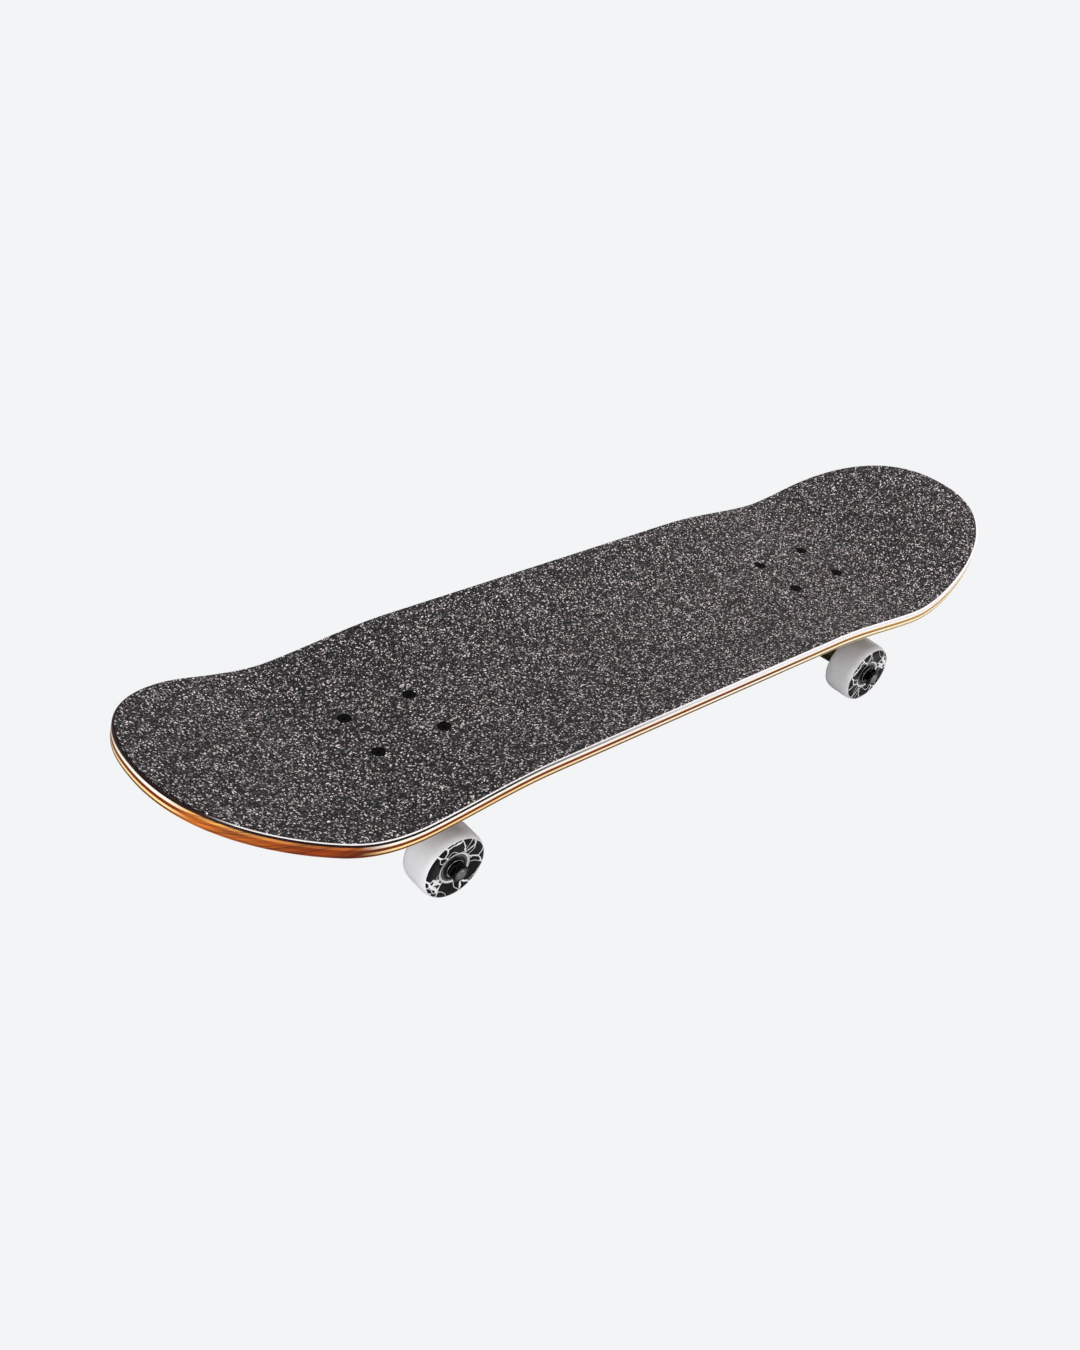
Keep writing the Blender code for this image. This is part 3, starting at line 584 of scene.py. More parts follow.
def board_shape(top_z, profile, columns=15):
    """A sheet with the deck's outline, as (bmesh, faces by level of the rim, faces of the two covers).

    profile is (inset, depth) down the rim; depth is from the upper face.
    """
    shape = bmesh.new()
    line = outline()
    last = len(line) - 1

    def vert(x, y, depth):
        return shape.verts.new((x, y, top_z + rise(x, y) - depth * lean(x, y)))

    def placed(i, inset, depth):
        """A point of the outline at some depth. The rim leans with the kicks."""
        x, y = line[i][0] + line[i][1] * inset
        slope = math.atan((rise(x + MM, 0.0) - rise(x - MM, 0.0)) / (2 * MM))
        above = top_z - DECK_TOP_Z + DECK_THICKNESS - depth
        return Vector((x - RIM_LEAN[end_of(x)] * above * math.sin(slope), y))

    def ring(inset, depth):
        """The left and the right half of one level of the rim, both from tail tip to nose tip."""
        places = [placed(i, inset, depth) for i in range(last + 1)]
        left = [vert(p.x, p.y if 0 < i < last else 0.0, depth) for i, p in enumerate(places)]
        right = [vert(p.x, -p.y, depth) for p in places[1:-1]]
        return left, [left[0], *right, left[-1]]

    def face(*corners):
        kept = list(dict.fromkeys(corners))
        if len(kept) > 2:
            return shape.faces.new(kept)
        return None

    rims = [ring(inset, depth) for inset, depth in profile]
    faces_by_level = []
    for (left, right), (left_next, right_next) in zip(rims, rims[1:]):
        faces = []
        for a, b in ((left, left_next), (right_next, right)):
            for i in range(last):
                faces.append(face(a[i], a[i + 1], b[i + 1], b[i]))
        faces_by_level.append([f for f in faces if f])
    covers = []
    for (left, right), (inset, depth) in ((rims[0], profile[0]), (rims[-1], profile[-1])):
        rows = []
        for i in range(last + 1):
            if i in (0, last):
                rows.append([left[i]] * (2 * columns + 1))
                continue
            x, y = placed(i, inset, depth)
            inner = [vert(x, y * j / columns, depth) for j in range(1 - columns, columns)]
            rows.append([right[i], *inner, left[i]])
        cover = []
        for row, after in zip(rows, rows[1:]):
            for j in range(2 * columns):
                cover.append(face(row[j], after[j], after[j + 1], row[j + 1]))
        covers.append([f for f in cover if f])
    return shape, faces_by_level, covers


def rim_profile(top, bottom):
    """(inset, depth, stripe) down the deck's rim, with rounded corners and a stop at each glue line."""
    levels = []
    thickness = sum(STRIPES)
    for k, height in enumerate(STRIPES):
        start = sum(STRIPES[:k])
        steps = 6 if start + height > thickness - bottom or start < top else 2
        levels += [(start + height * s / steps, k) for s in range(steps)]
    levels.append((thickness, len(STRIPES) - 1))
    result = []
    for depth, k in levels:
        inset = 0.0
        if depth < top:
            inset = top - math.sqrt(top**2 - (top - depth) ** 2)
        if depth > thickness - bottom:
            inset = bottom - math.sqrt(bottom**2 - (bottom - (thickness - depth)) ** 2)
        result.append((inset, depth, k))
    return result


def bolt_spots():
    """The mounting bolts' places, read from the CAD bolts, as (name, point on the head's face)."""
    for name in sorted(frame["nodes"]):
        if "_bolt_" in name and "_nut_" not in name:
            low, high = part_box(name)
            yield name, Vector(((low.x + high.x) / 2, (low.y + high.y) / 2, high.z))


def drilled(mesh, name):
    """The mesh with a countersunk hole at each mounting bolt, its walls in the mesh's second material:
    painted shade in the holes.
    """
    profile = [(0, 20 * MM, 0), (5.0 * MM, 20 * MM, 0), (5.0 * MM, -0.4 * MM, 0)]
    profile += [(2.8 * MM, -3.2 * MM, 0), (2.8 * MM, -20 * MM, 0), (0, -20 * MM, 0)]
    drill = lathe("drill", profile, 48, lambda r, z: 1)
    bench = Bench()
    sheet = bench.add(mesh)
    shape = bmesh.new()
    for _, spot in bolt_spots():
        copy = drill.copy()
        copy.transform(Matrix.Translation(spot))
        shape.from_mesh(copy)
    bench.boolean(sheet, bench.add(to_mesh("drills", shape)))
    made = bench.baked(sheet, name)
    bench.clear()
    return made


def make_deck():
    levels = rim_profile(TOP_ROUNDING, BOTTOM_ROUNDING)
    shape, rims, covers = board_shape(DECK_TOP_Z, [(inset, depth) for inset, depth, _ in levels])
    for (_, _, stripe), faces in zip(levels, rims):
        for face in faces:
            face.material_index = stripe
    for face in covers[1]:
        face.material_index = len(STRIPES)
    mesh = smooth(drilled(to_mesh("deck_plies", shape), "deck_plies"), 50)
    # The hole walls in the deck take the black ply's material, as painted shade.
    piece("deck_plies", mesh, [*PLIES, UNDERSIDE], "deck", ["deck"])


def make_grip_tape():
    thickness = GRIP_TOP_Z - DECK_TOP_Z - 0.02 * MM
    edge = 0.3 * MM
    profile = [(GRIP_INSET + edge, 0.0), (GRIP_INSET + 0.1 * MM, 0.1 * MM), (GRIP_INSET, edge)]
    profile.append((GRIP_INSET, thickness))
    shape, _, _ = board_shape(GRIP_TOP_Z, profile)
    mesh = smooth(drilled(to_mesh("grip_sheet", shape), "grip_sheet"), 50)
    # The grip's hole walls take the near black bolt material, as painted shade.
    piece("grip_sheet", mesh, [GRIT, BOLT_BLACK_AND_HOLE_SHADE], "deck", ["grip_tape"])


# ---------------------------------------------------------------- hardware


def lock_nut(name, flats, height, bore):
    """A hexagon lock nut standing on Z = 0, with chamfered corners, a rolled collar and a nylon ring."""
    bench = Bench()
    radius = flats / 2 / math.cos(math.pi / 6)
    body_top, past = height * 0.8, 0.01 * MM
    face, reach = flats * 0.475, radius * 1.01
    body = bench.cone(radius, radius, 0, body_top, segments=6)
    envelope = [
        (0, body_top + past, 0),
        (face, body_top + past, 0),
        (reach, body_top - (radius - face) * 0.5, 0),
        (reach, (radius - face) * 0.45, 0),
        (face, -past, 0),
        (0, -past, 0),
    ]
    bench.boolean(body, bench.add(lathe("envelope", envelope, 96)), "INTERSECT")
    bench.boolean(body, bench.cone(bore, bore, -MM, height * 2))
    shape = bmesh.new()
    shape.from_mesh(bench.baked(body, name))
    collar = [
        (bore + 0.9 * MM, height, 0.3 * MM),
        (flats * 0.44, height, 0.7 * MM),
        (flats * 0.47, height * 0.7, 0),
        (bore + 0.9 * MM, height * 0.7, 0),
    ]
    shape.from_mesh(lathe("collar", collar, 48))
    first = len(shape.faces)
    ring = [
        (bore + 0.1 * MM, height - 0.3 * MM, 0.2 * MM),
        (bore + 0.95 * MM, height - 0.3 * MM, 0),
        (bore + 0.95 * MM, height * 0.72, 0),
        (bore + 0.1 * MM, height * 0.72, 0),
    ]
    shape.from_mesh(lathe("ring", ring, 40))
    shape.faces.ensure_lookup_table()
    for nylon in shape.faces[first:]:
        nylon.material_index = 1
    bench.clear()
    return smooth(to_mesh(name, shape), 32)


def mounting_bolt():
    """A countersunk bolt with its head's face on Z = 0, a cross slot and a threaded end."""
    length, head, shank = 25.4 * MM, 4.5 * MM, 2.35 * MM
    profile = [(0, -0.02 * MM, 0), (head - 0.25 * MM, 0, 0.2 * MM), (head, -0.4 * MM, 0.1 * MM)]
    profile += [(shank, -3.0 * MM, 0.3 * MM), (shank, -8 * MM, 0)]
    profile += thread(shank, -8.4 * MM, 0.6 * MM - length, 0.8 * MM, 0.35 * MM)
    profile += [(shank - 0.6 * MM, -length, 0), (0, -length, 0)]
    bench = Bench()
    bolt = bench.add(lathe("mounting_bolt", profile, 40))
    for turn in (0.0, math.pi / 2):
        shape = bmesh.new()
        bmesh.ops.create_cube(shape, size=1.0)
        bmesh.ops.scale(shape, vec=(5.0 * MM, 1.05 * MM, 4.0 * MM), verts=shape.verts)
        for vert in shape.verts:
            if vert.co.z < 0:
                vert.co.x *= 0.3
                vert.co.y *= 0.6
        slot = bench.add(to_mesh("slot", shape), Matrix.Rotation(turn, 4, "Z"))
        bench.boolean(bolt, slot)
    made = smooth(bench.baked(bolt, "mounting_bolt"), 32)
    bench.clear()
    return made


def make_mounting_hardware():
    """The bolts and their nuts, each turned by its own angle as hand-tightened ones are."""
    first_turn, next_turn = 37, 61
    bolt = mounting_bolt()
    nut = lock_nut("mounting_nut", 9.5 * MM, 5.2 * MM, 2.3 * MM)
    for index, (name, spot) in enumerate(bolt_spots()):
        turn = Matrix.Rotation(math.radians(first_turn + next_turn * index), 4, "Z")
        piece("fine_" + name, bolt, [BOLT_BLACK_AND_HOLE_SHADE], "deck", [name],
              Matrix.Translation(spot) @ turn)
        node = name.replace("_bolt_", "_bolt_nut_")
        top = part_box(node)[1].z
        place = Matrix.Translation((spot.x, spot.y, top)) @ Matrix.Rotation(math.pi, 4, "X")
        piece("fine_" + node, nut, [BLACK_STEEL, NYLON], "deck", [node], place @ turn)


# ---------------------------------------------------------------- trucks


def truck_frame(truck):
    low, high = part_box(f"{truck}_baseplate")
    turn = 0.0 if truck == "nose" else math.pi
    return Matrix.Translation(((low.x + high.x) / 2, 0, high.z)) @ Matrix.Rotation(turn, 4, "Z")


def on_kingpin(distance):
    return RING_POINT + KINGPIN_UP * distance


def make_baseplate():
    """A casting: plate, kingpin boss, pivot housing, gussets and a pad at each bolt."""
    kingpin_axis = along(RING_POINT, KINGPIN_UP)
    stem_axis = along(PIVOT_POINT, STEM_UP)
    bench = Bench()
    middle = Matrix.Translation((0, 0, -PLATE_THICKNESS / 2))
    bench.box((PLATE_LENGTH - 0.2 * MM, PLATE_WIDTH - 0.2 * MM, PLATE_THICKNESS), middle, 9 * MM)
    boss_top = -RING_POINT.z / KINGPIN_UP.z - 2 * MM
    bench.cone(13.6 * MM, 16.6 * MM, SEAT_HEIGHT, boss_top, kingpin_axis)
    bench.cone(11.6 * MM, 13.2 * MM, MM - CUP_DEPTH, 11 * MM, stem_axis)
    bench.box((26 * MM, 11 * MM, 9 * MM), Matrix.Translation((10 * MM, 0, -6.5 * MM)))
    for side in (1, -1):
        gusset = Matrix.Translation((4 * MM, side * 9 * MM, -7 * MM)) @ Matrix.Rotation(side * 0.12, 4, "Z")
        bench.box((30 * MM, 4 * MM, 5 * MM), gusset)
        for far in (1, -1):
            pad = Matrix.Translation((far * BOLTS_ALONG / 2, side * BOLTS_ACROSS / 2, 0))
            bench.cone(7.2 * MM, 7.8 * MM, -PLATE_THICKNESS - 0.1 * MM, -MM, pad)
    plate = bench.cast("baseplate", 0.55 * MM, 3)
    bench.boolean(plate, bench.box((0.2, 0.2, 0.04), Matrix.Translation((0, 0, 0.02))))
    bench.boolean(plate, bench.cone(8.2 * MM, 8.2 * MM, HEAD_HEIGHT, 0.05, kingpin_axis))
    hole = KINGPIN_RADIUS + GAP
    bench.boolean(plate, bench.cone(hole, hole, 0, 0.05, kingpin_axis))
    seat = bench.cone(12.6 * MM, 12.6 * MM, 0, SEAT_HEIGHT + 0.2 * MM, kingpin_axis)
    bench.boolean(plate, seat)
    socket = CUP_RADIUS + 0.1 * MM
    bench.boolean(plate, bench.cone(socket, socket, -0.02, CUP_DEPTH + GAP, stem_axis))
    for far in (1, -1):
        for side in (1, -1):
            spot = Matrix.Translation((far * BOLTS_ALONG / 2, side * BOLTS_ACROSS / 2, 0))
            bench.boolean(plate, bench.cone(2.75 * MM, 2.75 * MM, -0.03, 0.01, spot, 32))
            face = bench.cone(6.0 * MM, 6.0 * MM, -0.03, -PLATE_THICKNESS + 0.05 * MM, spot)
            bench.boolean(plate, face)
    made = smooth(bench.baked(plate, "baseplate"), 30)
    bench.clear()
    return made


def make_hanger():
    """A casting: axle housing, ring, web, side gussets and pivot stem."""
    low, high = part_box("nose_hanger")
    half = (high.y - low.y) / 2
    wheel = JOINTS["nose_left_wheel_spin"]["pos_m"]
    axle = truck_frame("nose").inverted() @ Vector((wheel[0], 0, wheel[2]))
    kingpin_axis = along(RING_POINT, KINGPIN_UP)
    stem_axis = along(PIVOT_POINT, STEM_UP)
    bench = Bench()
    housing = [
        (0, half, 0),
        (8.6 * MM, half, 0.6 * MM),
        (9.2 * MM, half - 14 * MM, 9 * MM),
        (11.0 * MM, 24 * MM, 9 * MM),
        (12.5 * MM, 12 * MM, 9 * MM),
        (12.5 * MM, -12 * MM, 9 * MM),
        (11.0 * MM, -24 * MM, 9 * MM),
        (9.2 * MM, 14 * MM - half, 9 * MM),
        (8.6 * MM, -half, 0.6 * MM),
        (0, -half, 0),
    ]
    bench.add(lathe("housing", housing, 64), along(axle, Y_AXIS))
    ring_half = RING_THICKNESS / 2
    bench.cone(RING_RADIUS, RING_RADIUS, -ring_half, ring_half, kingpin_axis)
    to_axle = axle - RING_POINT
    turn = Matrix.Rotation(math.atan2(-to_axle.z, to_axle.x), 4, "Y")
    bench.box((30 * MM, 24 * MM, 7.2 * MM), Matrix.Translation(RING_POINT.lerp(axle, 0.62)) @ turn)
    for side in (1, -1):
        wing = Matrix.Translation(RING_POINT.lerp(axle, 0.8) + Y_AXIS * side * 15 * MM) @ turn
        bench.box((20 * MM, 14 * MM, 5 * MM), wing @ Matrix.Rotation(side * 0.55, 4, "Z"))
    stem_length = (PIVOT_POINT - STEM_FOOT).length
    bench.cone(10.5 * MM, 4.3 * MM, -stem_length, 0, stem_axis)
    shape = bmesh.new()
    bmesh.ops.create_uvsphere(shape, u_segments=32, v_segments=24, radius=5.3 * MM)
    bench.add(to_mesh("tip", shape), stem_axis)
    hanger = bench.cast("hanger", 0.65 * MM, 4)
    clear = 15.5 * MM
    bench.boolean(hanger, bench.cone(clear, clear, ring_half, 20 * MM, kingpin_axis))
    bench.boolean(hanger, bench.cone(clear, clear, -19 * MM, -ring_half, kingpin_axis))
    bench.boolean(hanger, bench.cone(RING_HOLE, RING_HOLE, -8 * MM, 8 * MM, kingpin_axis))
    bore = AXLE_RADIUS + 0.1 * MM
    bench.boolean(hanger, bench.cone(bore, bore, -0.1, 0.1, along(axle, Y_AXIS)))
    made = smooth(bench.baked(hanger, "hanger"), 30)
    bench.clear()
    return made


def kingpin_mesh():
    foot = -(RING_THICKNESS / 2 + ROADSIDE_HEIGHT + CUP_WASHER_HEIGHT + 3 * GAP + 8.4 * MM + 1.8 * MM)
    head = HEAD_HEIGHT + GAP
    profile = [(0, head + 4.6 * MM, 0), (7.8 * MM, head + 4.6 * MM, 0.6 * MM), (7.8 * MM, head, 0.3 * MM)]
    profile += [(KINGPIN_RADIUS, head, 0.3 * MM), (KINGPIN_RADIUS, -8 * MM, 0)]
    profile += thread(KINGPIN_RADIUS, -8.4 * MM, foot + 0.8 * MM, 1.1 * MM, 0.45 * MM)
    profile += [(KINGPIN_RADIUS - 0.9 * MM, foot, 0.2 * MM), (0, foot, 0)]
    return lathe("kingpin", profile, 48)


def axle_mesh():
    low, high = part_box("nose_axle")
    half = (high.y - low.y) / 2
    end = [(0, half, 0), (AXLE_RADIUS - 0.9 * MM, half, 0.3 * MM)]
    end += [(AXLE_RADIUS, half - 0.9 * MM, 0)]
    screw = thread(AXLE_RADIUS, half - MM, half - 9 * MM, MM, 0.4 * MM)
    upper = end + screw
    lower = [(r, -z, c) for r, z, c in reversed(upper)]
    return lathe("axle", upper + lower, 40)


def bushing(name, outer, height):
    """A turned urethane bushing. outer lists (radius, share of the height, corner), top to bottom."""
    bore = KINGPIN_RADIUS + 0.2 * MM
    profile = [(r, height * share, corner) for r, share, corner in outer]
    return lathe(name, [(bore, height, 0.6 * MM), *profile, (bore, 0, 0.6 * MM)], 64)


def cup_washer():
    bore, rim, height = KINGPIN_RADIUS + 0.2 * MM, 10.6 * MM, CUP_WASHER_HEIGHT
    floor = height - 0.2 * MM
    profile = [(rim, height + 0.9 * MM, 0.3 * MM), (rim, height * 0.5, 0.5 * MM), (rim - MM, 0, 0.4 * MM)]
    profile += [(bore, 0, 0.1 * MM), (bore, floor, 0.1 * MM), (rim - 0.9 * MM, floor, 0)]
    return lathe("cup_washer", profile, 56)


def pivot_cup():
    profile = [
        (0, CUP_DEPTH, 0),
        (CUP_RADIUS, CUP_DEPTH, MM),
        (CUP_RADIUS, -CUP_DEPTH, 0),
        (CUP_RADIUS + 0.9 * MM, -CUP_DEPTH - 0.1 * MM, 0.2 * MM),
        (CUP_RADIUS + 0.9 * MM, -CUP_DEPTH - 0.9 * MM, 0.3 * MM),
        (CUP_BORE + 0.9 * MM, -CUP_DEPTH - 0.9 * MM, 0.4 * MM),
        (CUP_BORE, -CUP_DEPTH + MM, MM),
        (CUP_BORE, 2.2 * MM, 3 * MM),
        (CUP_BORE * 0.5, CUP_DEPTH - 0.6 * MM, 2 * MM),
        (0, CUP_DEPTH - 0.6 * MM, 0),
    ]
    return lathe("pivot_cup", profile, 56)


def make_trucks():
    plate, hanger = make_baseplate(), make_hanger()
    kingpin, axle, cup = kingpin_mesh(), axle_mesh(), pivot_cup()
    barrel_shape = [(12.0 * MM, 1, 0.8 * MM), (12.9 * MM, 0.66, 3 * MM), (12.9 * MM, 0.34, 3 * MM)]
    barrel = bushing("boardside_bushing", [*barrel_shape, (12.0 * MM, 0, 0.8 * MM)], BOARDSIDE_HEIGHT)
    cone_shape = [(12.0 * MM, 1, 0.7 * MM), (12.0 * MM, 0.78, 1.5 * MM), (9.4 * MM, 0, 0.8 * MM)]
    cone = bushing("roadside_bushing", cone_shape, ROADSIDE_HEIGHT)
    washer, big_nut = cup_washer(), lock_nut("kingpin_nut", 14.3 * MM, 9.6 * MM, 4.7 * MM)
    for truck in ("nose", "tail"):
        here = truck_frame(truck)
        body = f"{truck}_hanger"

        def fixed(node, mesh, materials, matrix):
            name = f"{truck}_{node}"
            piece("fine_" + name, mesh, materials, "deck", [name], here @ matrix)

        def at(height, way=1):
            return along(on_kingpin(height), KINGPIN_UP * way)

        def squeezed(node, mesh, height, length):
            """A bushing, baked in place round the kingpin; it rides no body."""
            name = f"{truck}_{node}"
            ends = sorted((height, height + length), key=abs, reverse=True)
            start, end = (here @ on_kingpin(place) for place in ends)
            place, bend = here @ at(height), (body, start, end)
            piece("fine_" + name, mesh.copy(), [BUSHING], "deck", [name], place, bend)

        fixed("baseplate", plate, [SHADED_CAST_METAL], Matrix.Identity(4))
        fixed("pivot_cup", cup, [BUSHING], along(PIVOT_POINT, STEM_UP))
        fixed("kingpin", kingpin, [PLATED], at(0))
        squeezed("boardside_bushing", barrel, RING_THICKNESS / 2 + GAP, BOARDSIDE_HEIGHT)
        height = -RING_THICKNESS / 2 - GAP - ROADSIDE_HEIGHT
        squeezed("roadside_bushing", cone, height, ROADSIDE_HEIGHT)
        height -= GAP + CUP_WASHER_HEIGHT
        fixed("cup_washer", washer, [PLATED], at(height))
        fixed("kingpin_nut", big_nut, [PLATED, NYLON], at(height - GAP, -1))
        piece(f"fine_{truck}_hanger", hanger, [SHADED_CAST_METAL], body, [f"{truck}_hanger"], here)
        joint = Vector(JOINTS[f"{truck}_left_wheel_spin"]["pos_m"])
        middle = along((joint.x, 0, joint.z), Y_AXIS)
        piece(f"fine_{truck}_axle", axle, [AXLE_STEEL], body, [f"{truck}_axle"], middle)


# ---------------------------------------------------------------- wheels


def wheel_mesh(radius, half):
    """A wheel about its own Z, which points outward. Its outer face is the second material."""
    seat, ledge = 11.05 * MM, 4.9 * MM
    outer = [
        (radius, 9.0 * MM, 4 * MM),
        (24.4 * MM, half - 1.3 * MM, 1.2 * MM),
        (21.5 * MM, half, 2.5 * MM),
        (13.2 * MM, half - 1.2 * MM, 0.8 * MM),
        (12.2 * MM, half - 2.2 * MM, 0.4 * MM),
        (seat, half - 2.3 * MM, 0.2 * MM),
        (seat, ledge, 0),
        (seat - 2.4 * MM, ledge, 0.3 * MM),
    ]
    upper = list(reversed(outer))
    lower = [(r, -z, c) for r, z, c in outer]

    def paint(r, z):
        return 1 if z > half - 1.9 * MM and r < 24.6 * MM else 0

    return lathe("wheel", upper + lower, 128, paint)


def bearing_mesh():
    """A ball bearing's races and shields. Shields are the second material."""
    half, outer, bore = 3.5 * MM, 11.0 * MM, 4.02 * MM
    face = [
        (bore, half, 0.3 * MM),
        (6.0 * MM, half, 0.15 * MM),
        (6.1 * MM, half - 0.45 * MM, 0),
        (9.3 * MM, half - 0.45 * MM, 0),
        (9.4 * MM, half, 0.15 * MM),
        (outer, half, 0.4 * MM),
    ]
    lower = [(r, -z, c) for r, z, c in reversed(face)]

    def paint(r, _):
        return 1 if 6.05 * MM < r < 9.35 * MM else 0

    return lathe("bearing", face + lower, 72, paint)


def washer_mesh():
    low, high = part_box("nose_left_outer_speed_washer")
    height, outer, bore = high.y - low.y, 7.0 * MM, AXLE_RADIUS + 0.1 * MM
    corner = 0.15 * MM
    profile = [(bore, height, corner), (outer, height, corner), (outer, 0, corner), (bore, 0, corner)]
    return lathe("speed_washer", profile, 48)


def make_wheels():
    low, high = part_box("nose_left_wheel")
    wheel = wheel_mesh((high.z - low.z) / 2, (high.y - low.y) / 2)
    bearing, washer = bearing_mesh(), washer_mesh()
    nut = lock_nut("axle_nut", 12.7 * MM, 6.4 * MM, AXLE_RADIUS)
    turn = 0.0
    for truck in ("nose", "tail"):
        for side, way in (("left", 1), ("right", -1)):
            start = f"{truck}_{side}"
            joint = Vector(JOINTS[f"{start}_wheel_spin"]["pos_m"])
            outward = Y_AXIS * way
            body, holder = f"{start}_wheel", f"{truck}_hanger"
            spun = along(joint, outward) @ Matrix.Rotation(turn, 4, "Z")
            turn += math.pi / 2
            materials = [URETHANE, PRINT]
            piece(f"fine_{body}", wheel, materials, body, [body], spun)
            for where in ("inner", "outer"):
                node = f"{start}_{where}_bearing"
                middle = (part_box(node)[0].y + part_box(node)[1].y) / 2
                place = along((joint.x, middle, joint.z), outward)
                piece("fine_" + node, bearing, [RACE, SHIELD], body, [node], place)
                node = f"{start}_{where}_speed_washer"
                edge = min(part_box(node)[0].y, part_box(node)[1].y, key=abs)
                place = along((joint.x, edge, joint.z), outward)
                piece("fine_" + node, washer, [PLATED], holder, [node], place)
            node = f"{start}_axle_nut"
            edge = min(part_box(node)[0].y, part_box(node)[1].y, key=abs)
            place = along((joint.x, edge, joint.z), outward) @ Matrix.Rotation(turn, 4, "Z")
            piece("fine_" + node, nut, [BLACK_STEEL, NYLON], holder, [node], place)


# ---------------------------------------------------------------- studio

BACKDROP = rgb(0.896, 0.904, 0.921)


def make_floor():
    """A pale floor. It lights the board as matt white, looks evenly pale, and is see-through from below."""
    shape = bmesh.new()
    bmesh.ops.create_circle(shape, cap_ends=True, segments=64, radius=30.0)
    mesh = bpy.data.meshes.new("floor")
    shape.to_mesh(mesh)
    shape.free()
    floor = bpy.data.objects.new("floor", mesh)
    bpy.context.scene.collection.objects.link(floor)
    made = Surface("floor", (0.72, 0.725, 0.735), 0.9, Specular_IOR_Level=0.0)
    seen = made.node("LightPath", output="Is Camera Ray")
    glow = made.node("Emission", {"Color": BACKDROP, "Strength": 1.0})
    lit = made.node("MixShader", {0: seen, 1: made.shader.outputs[0], 2: glow})
    under = made.node("NewGeometry", output="Backfacing")
    clear = made.node("BsdfTransparent")
    floor_shader = made.node("MixShader", {0: under, 1: lit, 2: clear})
    made.tree.links.new(floor_shader, made.tree.nodes["Material Output"].inputs["Surface"])
    mesh.materials.append(made.material)


def make_lights():
    world = bpy.data.worlds.new("studio")
    world.use_nodes = True
    tree = world.node_tree
    sky = tree.nodes["Background"]
    sky.inputs["Color"].default_value = rgb(0.975, 0.985, 1.0)
    sky.inputs["Strength"].default_value = 0.66
    backdrop = tree.nodes.new("ShaderNodeBackground")
    backdrop.inputs["Color"].default_value = BACKDROP
    seen = tree.nodes.new("ShaderNodeLightPath").outputs["Is Camera Ray"]
    either = tree.nodes.new("ShaderNodeMixShader")
    for source, socket in ((seen, 0), (sky.outputs[0], 1), (backdrop.outputs[0], 2)):
        tree.links.new(source, either.inputs[socket])
    tree.links.new(either.outputs[0], tree.nodes["World Output"].inputs["Surface"])
    bpy.context.scene.world = world
    make_lamp("overhead", (-0.4, 0.5, 2.4), (0, 0, 0), 1.6, 22.0, (1.0, 0.985, 0.97))
    make_lamp("tail_lamp", (-1.0, -0.1, 0.9), (-0.3, 0, 0.1), 0.6, 4.0, (1.0, 0.86, 0.82))
    make_lamp("nose_lamp", (0.72, 0.32, 0.11), (0.25, 0.08, 0.03), 0.3, 1.4, (1.0, 1.0, 1.0))
    make_lamp("side_lamp", (-0.6, 1.2, 0.25), (0, 0.1, 0.06), 0.9, 3.6, (1.0, 0.99, 1.0))


def make_lamp(name, place, target, size, power, colour):
    """A soft square lamp, itself out of the camera's sight."""
    data = bpy.data.lights.new(name, "AREA")
    data.energy = power
    data.size = size
    data.color = colour
    lamp = bpy.data.objects.new(name, data)
    bpy.context.scene.collection.objects.link(lamp)
    turn = (Vector(place) - Vector(target)).to_track_quat("Z", "Y")
    lamp.matrix_world = Matrix.Translation(place) @ turn.to_matrix().to_4x4()
    lamp.visible_camera = False


def make_camera():
    """Looks down past the nose's left side, tilted a little to the right."""
    azimuth, elevation, roll = math.radians(135.02), math.radians(35.38), math.radians(9.08)
    back = Vector((
        math.sin(azimuth) * math.cos(elevation),
        -math.cos(azimuth) * math.cos(elevation),
        math.sin(elevation),
    ))
    right = Vector((math.cos(azimuth), math.sin(azimuth), 0))
    up = back.cross(right)
    across = right * math.cos(roll) + up * math.sin(roll)
    upright = up * math.cos(roll) - right * math.sin(roll)
    target, distance = Vector((83.8 * MM, 7.7 * MM, GRIP_TOP_Z)), 983.5 * MM
    data = bpy.data.cameras.new("camera")
    data.lens = 35.86
    data.sensor_width = 36.0
    camera = bpy.data.objects.new("camera", data)
    bpy.context.scene.collection.objects.link(camera)
    turn = Matrix((across, upright, back)).transposed().to_4x4()
    camera.matrix_world = Matrix.Translation(target + back * distance) @ turn
    bpy.context.scene.camera = camera
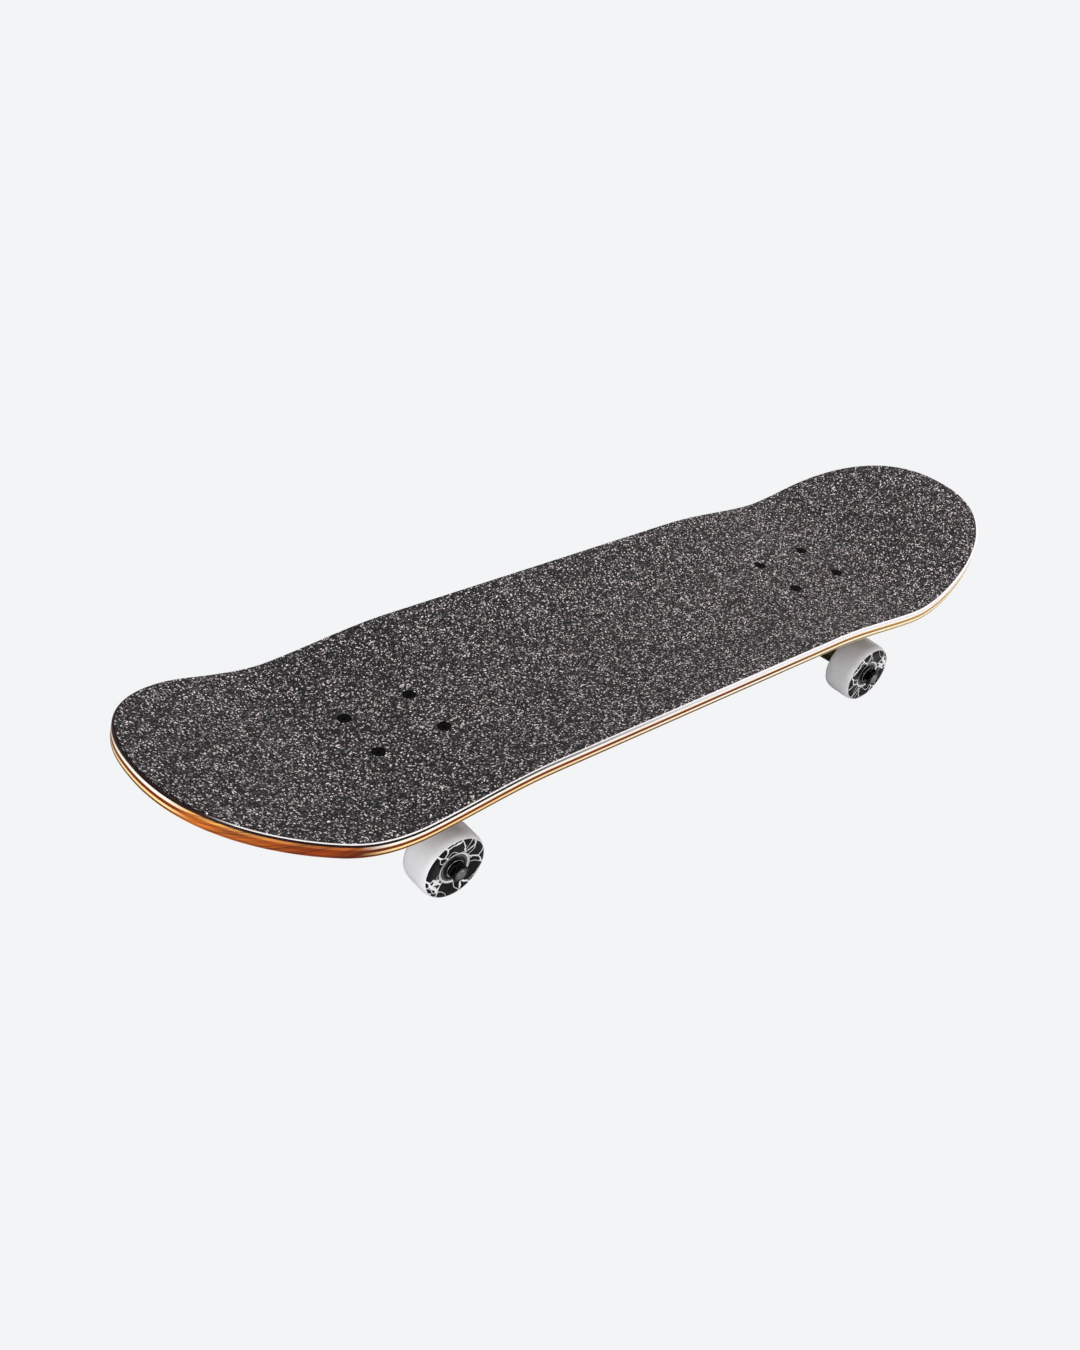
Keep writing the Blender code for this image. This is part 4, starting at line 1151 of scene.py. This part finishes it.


# Where the red and brown plies turn to their painted sheen towards the tail, in metres along the deck. Tones
# are light, dark, painted warm shade round the nose and painted sheen towards the tail.
TAIL_SHEEN_SPAN = (-0.24, -0.06)
PLIES = [
    # The top line is a painted highlight: near white where light catches the rounding, and dark as painted
    # shade elsewhere.
    wood("painted_highlight_line", (0.97, 0.94, 0.93), (0.92, 0.88, 0.86), (0.030, 0.012, 0.014), where=HIGHLIGHT_LINE_SHADE),
    wood("black_ply", (0.012, 0.004, 0.005), (0.005, 0.002, 0.003), (0.03, 0.005, 0.004), (0.80, 0.76, 0.84)),
    wood("white_ply", (0.99, 0.96, 0.88), (0.96, 0.90, 0.78), (0.92, 0.42, 0.09)),
    wood("honey_ply", (0.90, 0.60, 0.26), (0.80, 0.46, 0.17), (0.50, 0.14, 0.015)),
    wood("red_ply", (0.20, 0.018, 0.001), (0.12, 0.010, 0.001), (0.50, 0.11, 0.008), (0.46, 0.22, 0.02),
         TAIL_SHEEN_SPAN),
    wood("cream_ply", (0.98, 0.74, 0.34), (0.92, 0.62, 0.24), (0.60, 0.16, 0.014), (0.99, 0.96, 0.72)),
    wood("brown_ply", (0.12, 0.026, 0.002), (0.07, 0.016, 0.002), (0.42, 0.09, 0.008), (0.42, 0.24, 0.03),
         TAIL_SHEEN_SPAN),
    wood("amber_ply", (0.90, 0.58, 0.20), (0.82, 0.46, 0.13), (0.62, 0.24, 0.05), (0.94, 0.84, 0.60)),
]
UNDERSIDE = stained_bottom()
GRIT = grit()
URETHANE = urethane()
PRINT = printed_face(12.6 * MM, 24.1 * MM)
# Dark olive bronze for the baseplates and hangers: partly the trucks' own dark finish, partly painted shade
# from under the deck with a painted warm bounce from the wood.
SHADED_CAST_METAL = metal("cast_metal", (0.075, 0.068, 0.032), 0.38, grain=700.0, strength=0.3)
PLATED = metal("plated_steel", (0.62, 0.61, 0.58), 0.24)
AXLE_STEEL = metal("axle_steel", (0.22, 0.22, 0.23), 0.24)
BLACK_STEEL = metal("black_steel", (0.012, 0.012, 0.013), 0.16, spread=0.06)
# Near black with little shine: the bolts' own black, and painted shade of their recessed holes.
BOLT_BLACK_AND_HOLE_SHADE = rubber("bolt_black_and_hole_shade", (0.002, 0.002, 0.002), 0.55, lift=0.001, shine=0.03)
RACE = metal("bearing_race", (0.16, 0.16, 0.17), 0.2)
SHIELD = rubber("bearing_shield", (0.006, 0.006, 0.007), 0.35, lift=0.002, shine=0.15)
BUSHING = rubber("bushing_rubber", (0.03, 0.03, 0.031), 0.42)
NYLON = rubber("nylon", (0.05, 0.05, 0.055), 0.35)

bpy.context.scene.view_settings.view_transform = "Standard"
make_camera()
make_floor()
make_lights()
make_deck()
make_grip_tape()
make_mounting_hardware()
make_trucks()
make_wheels()
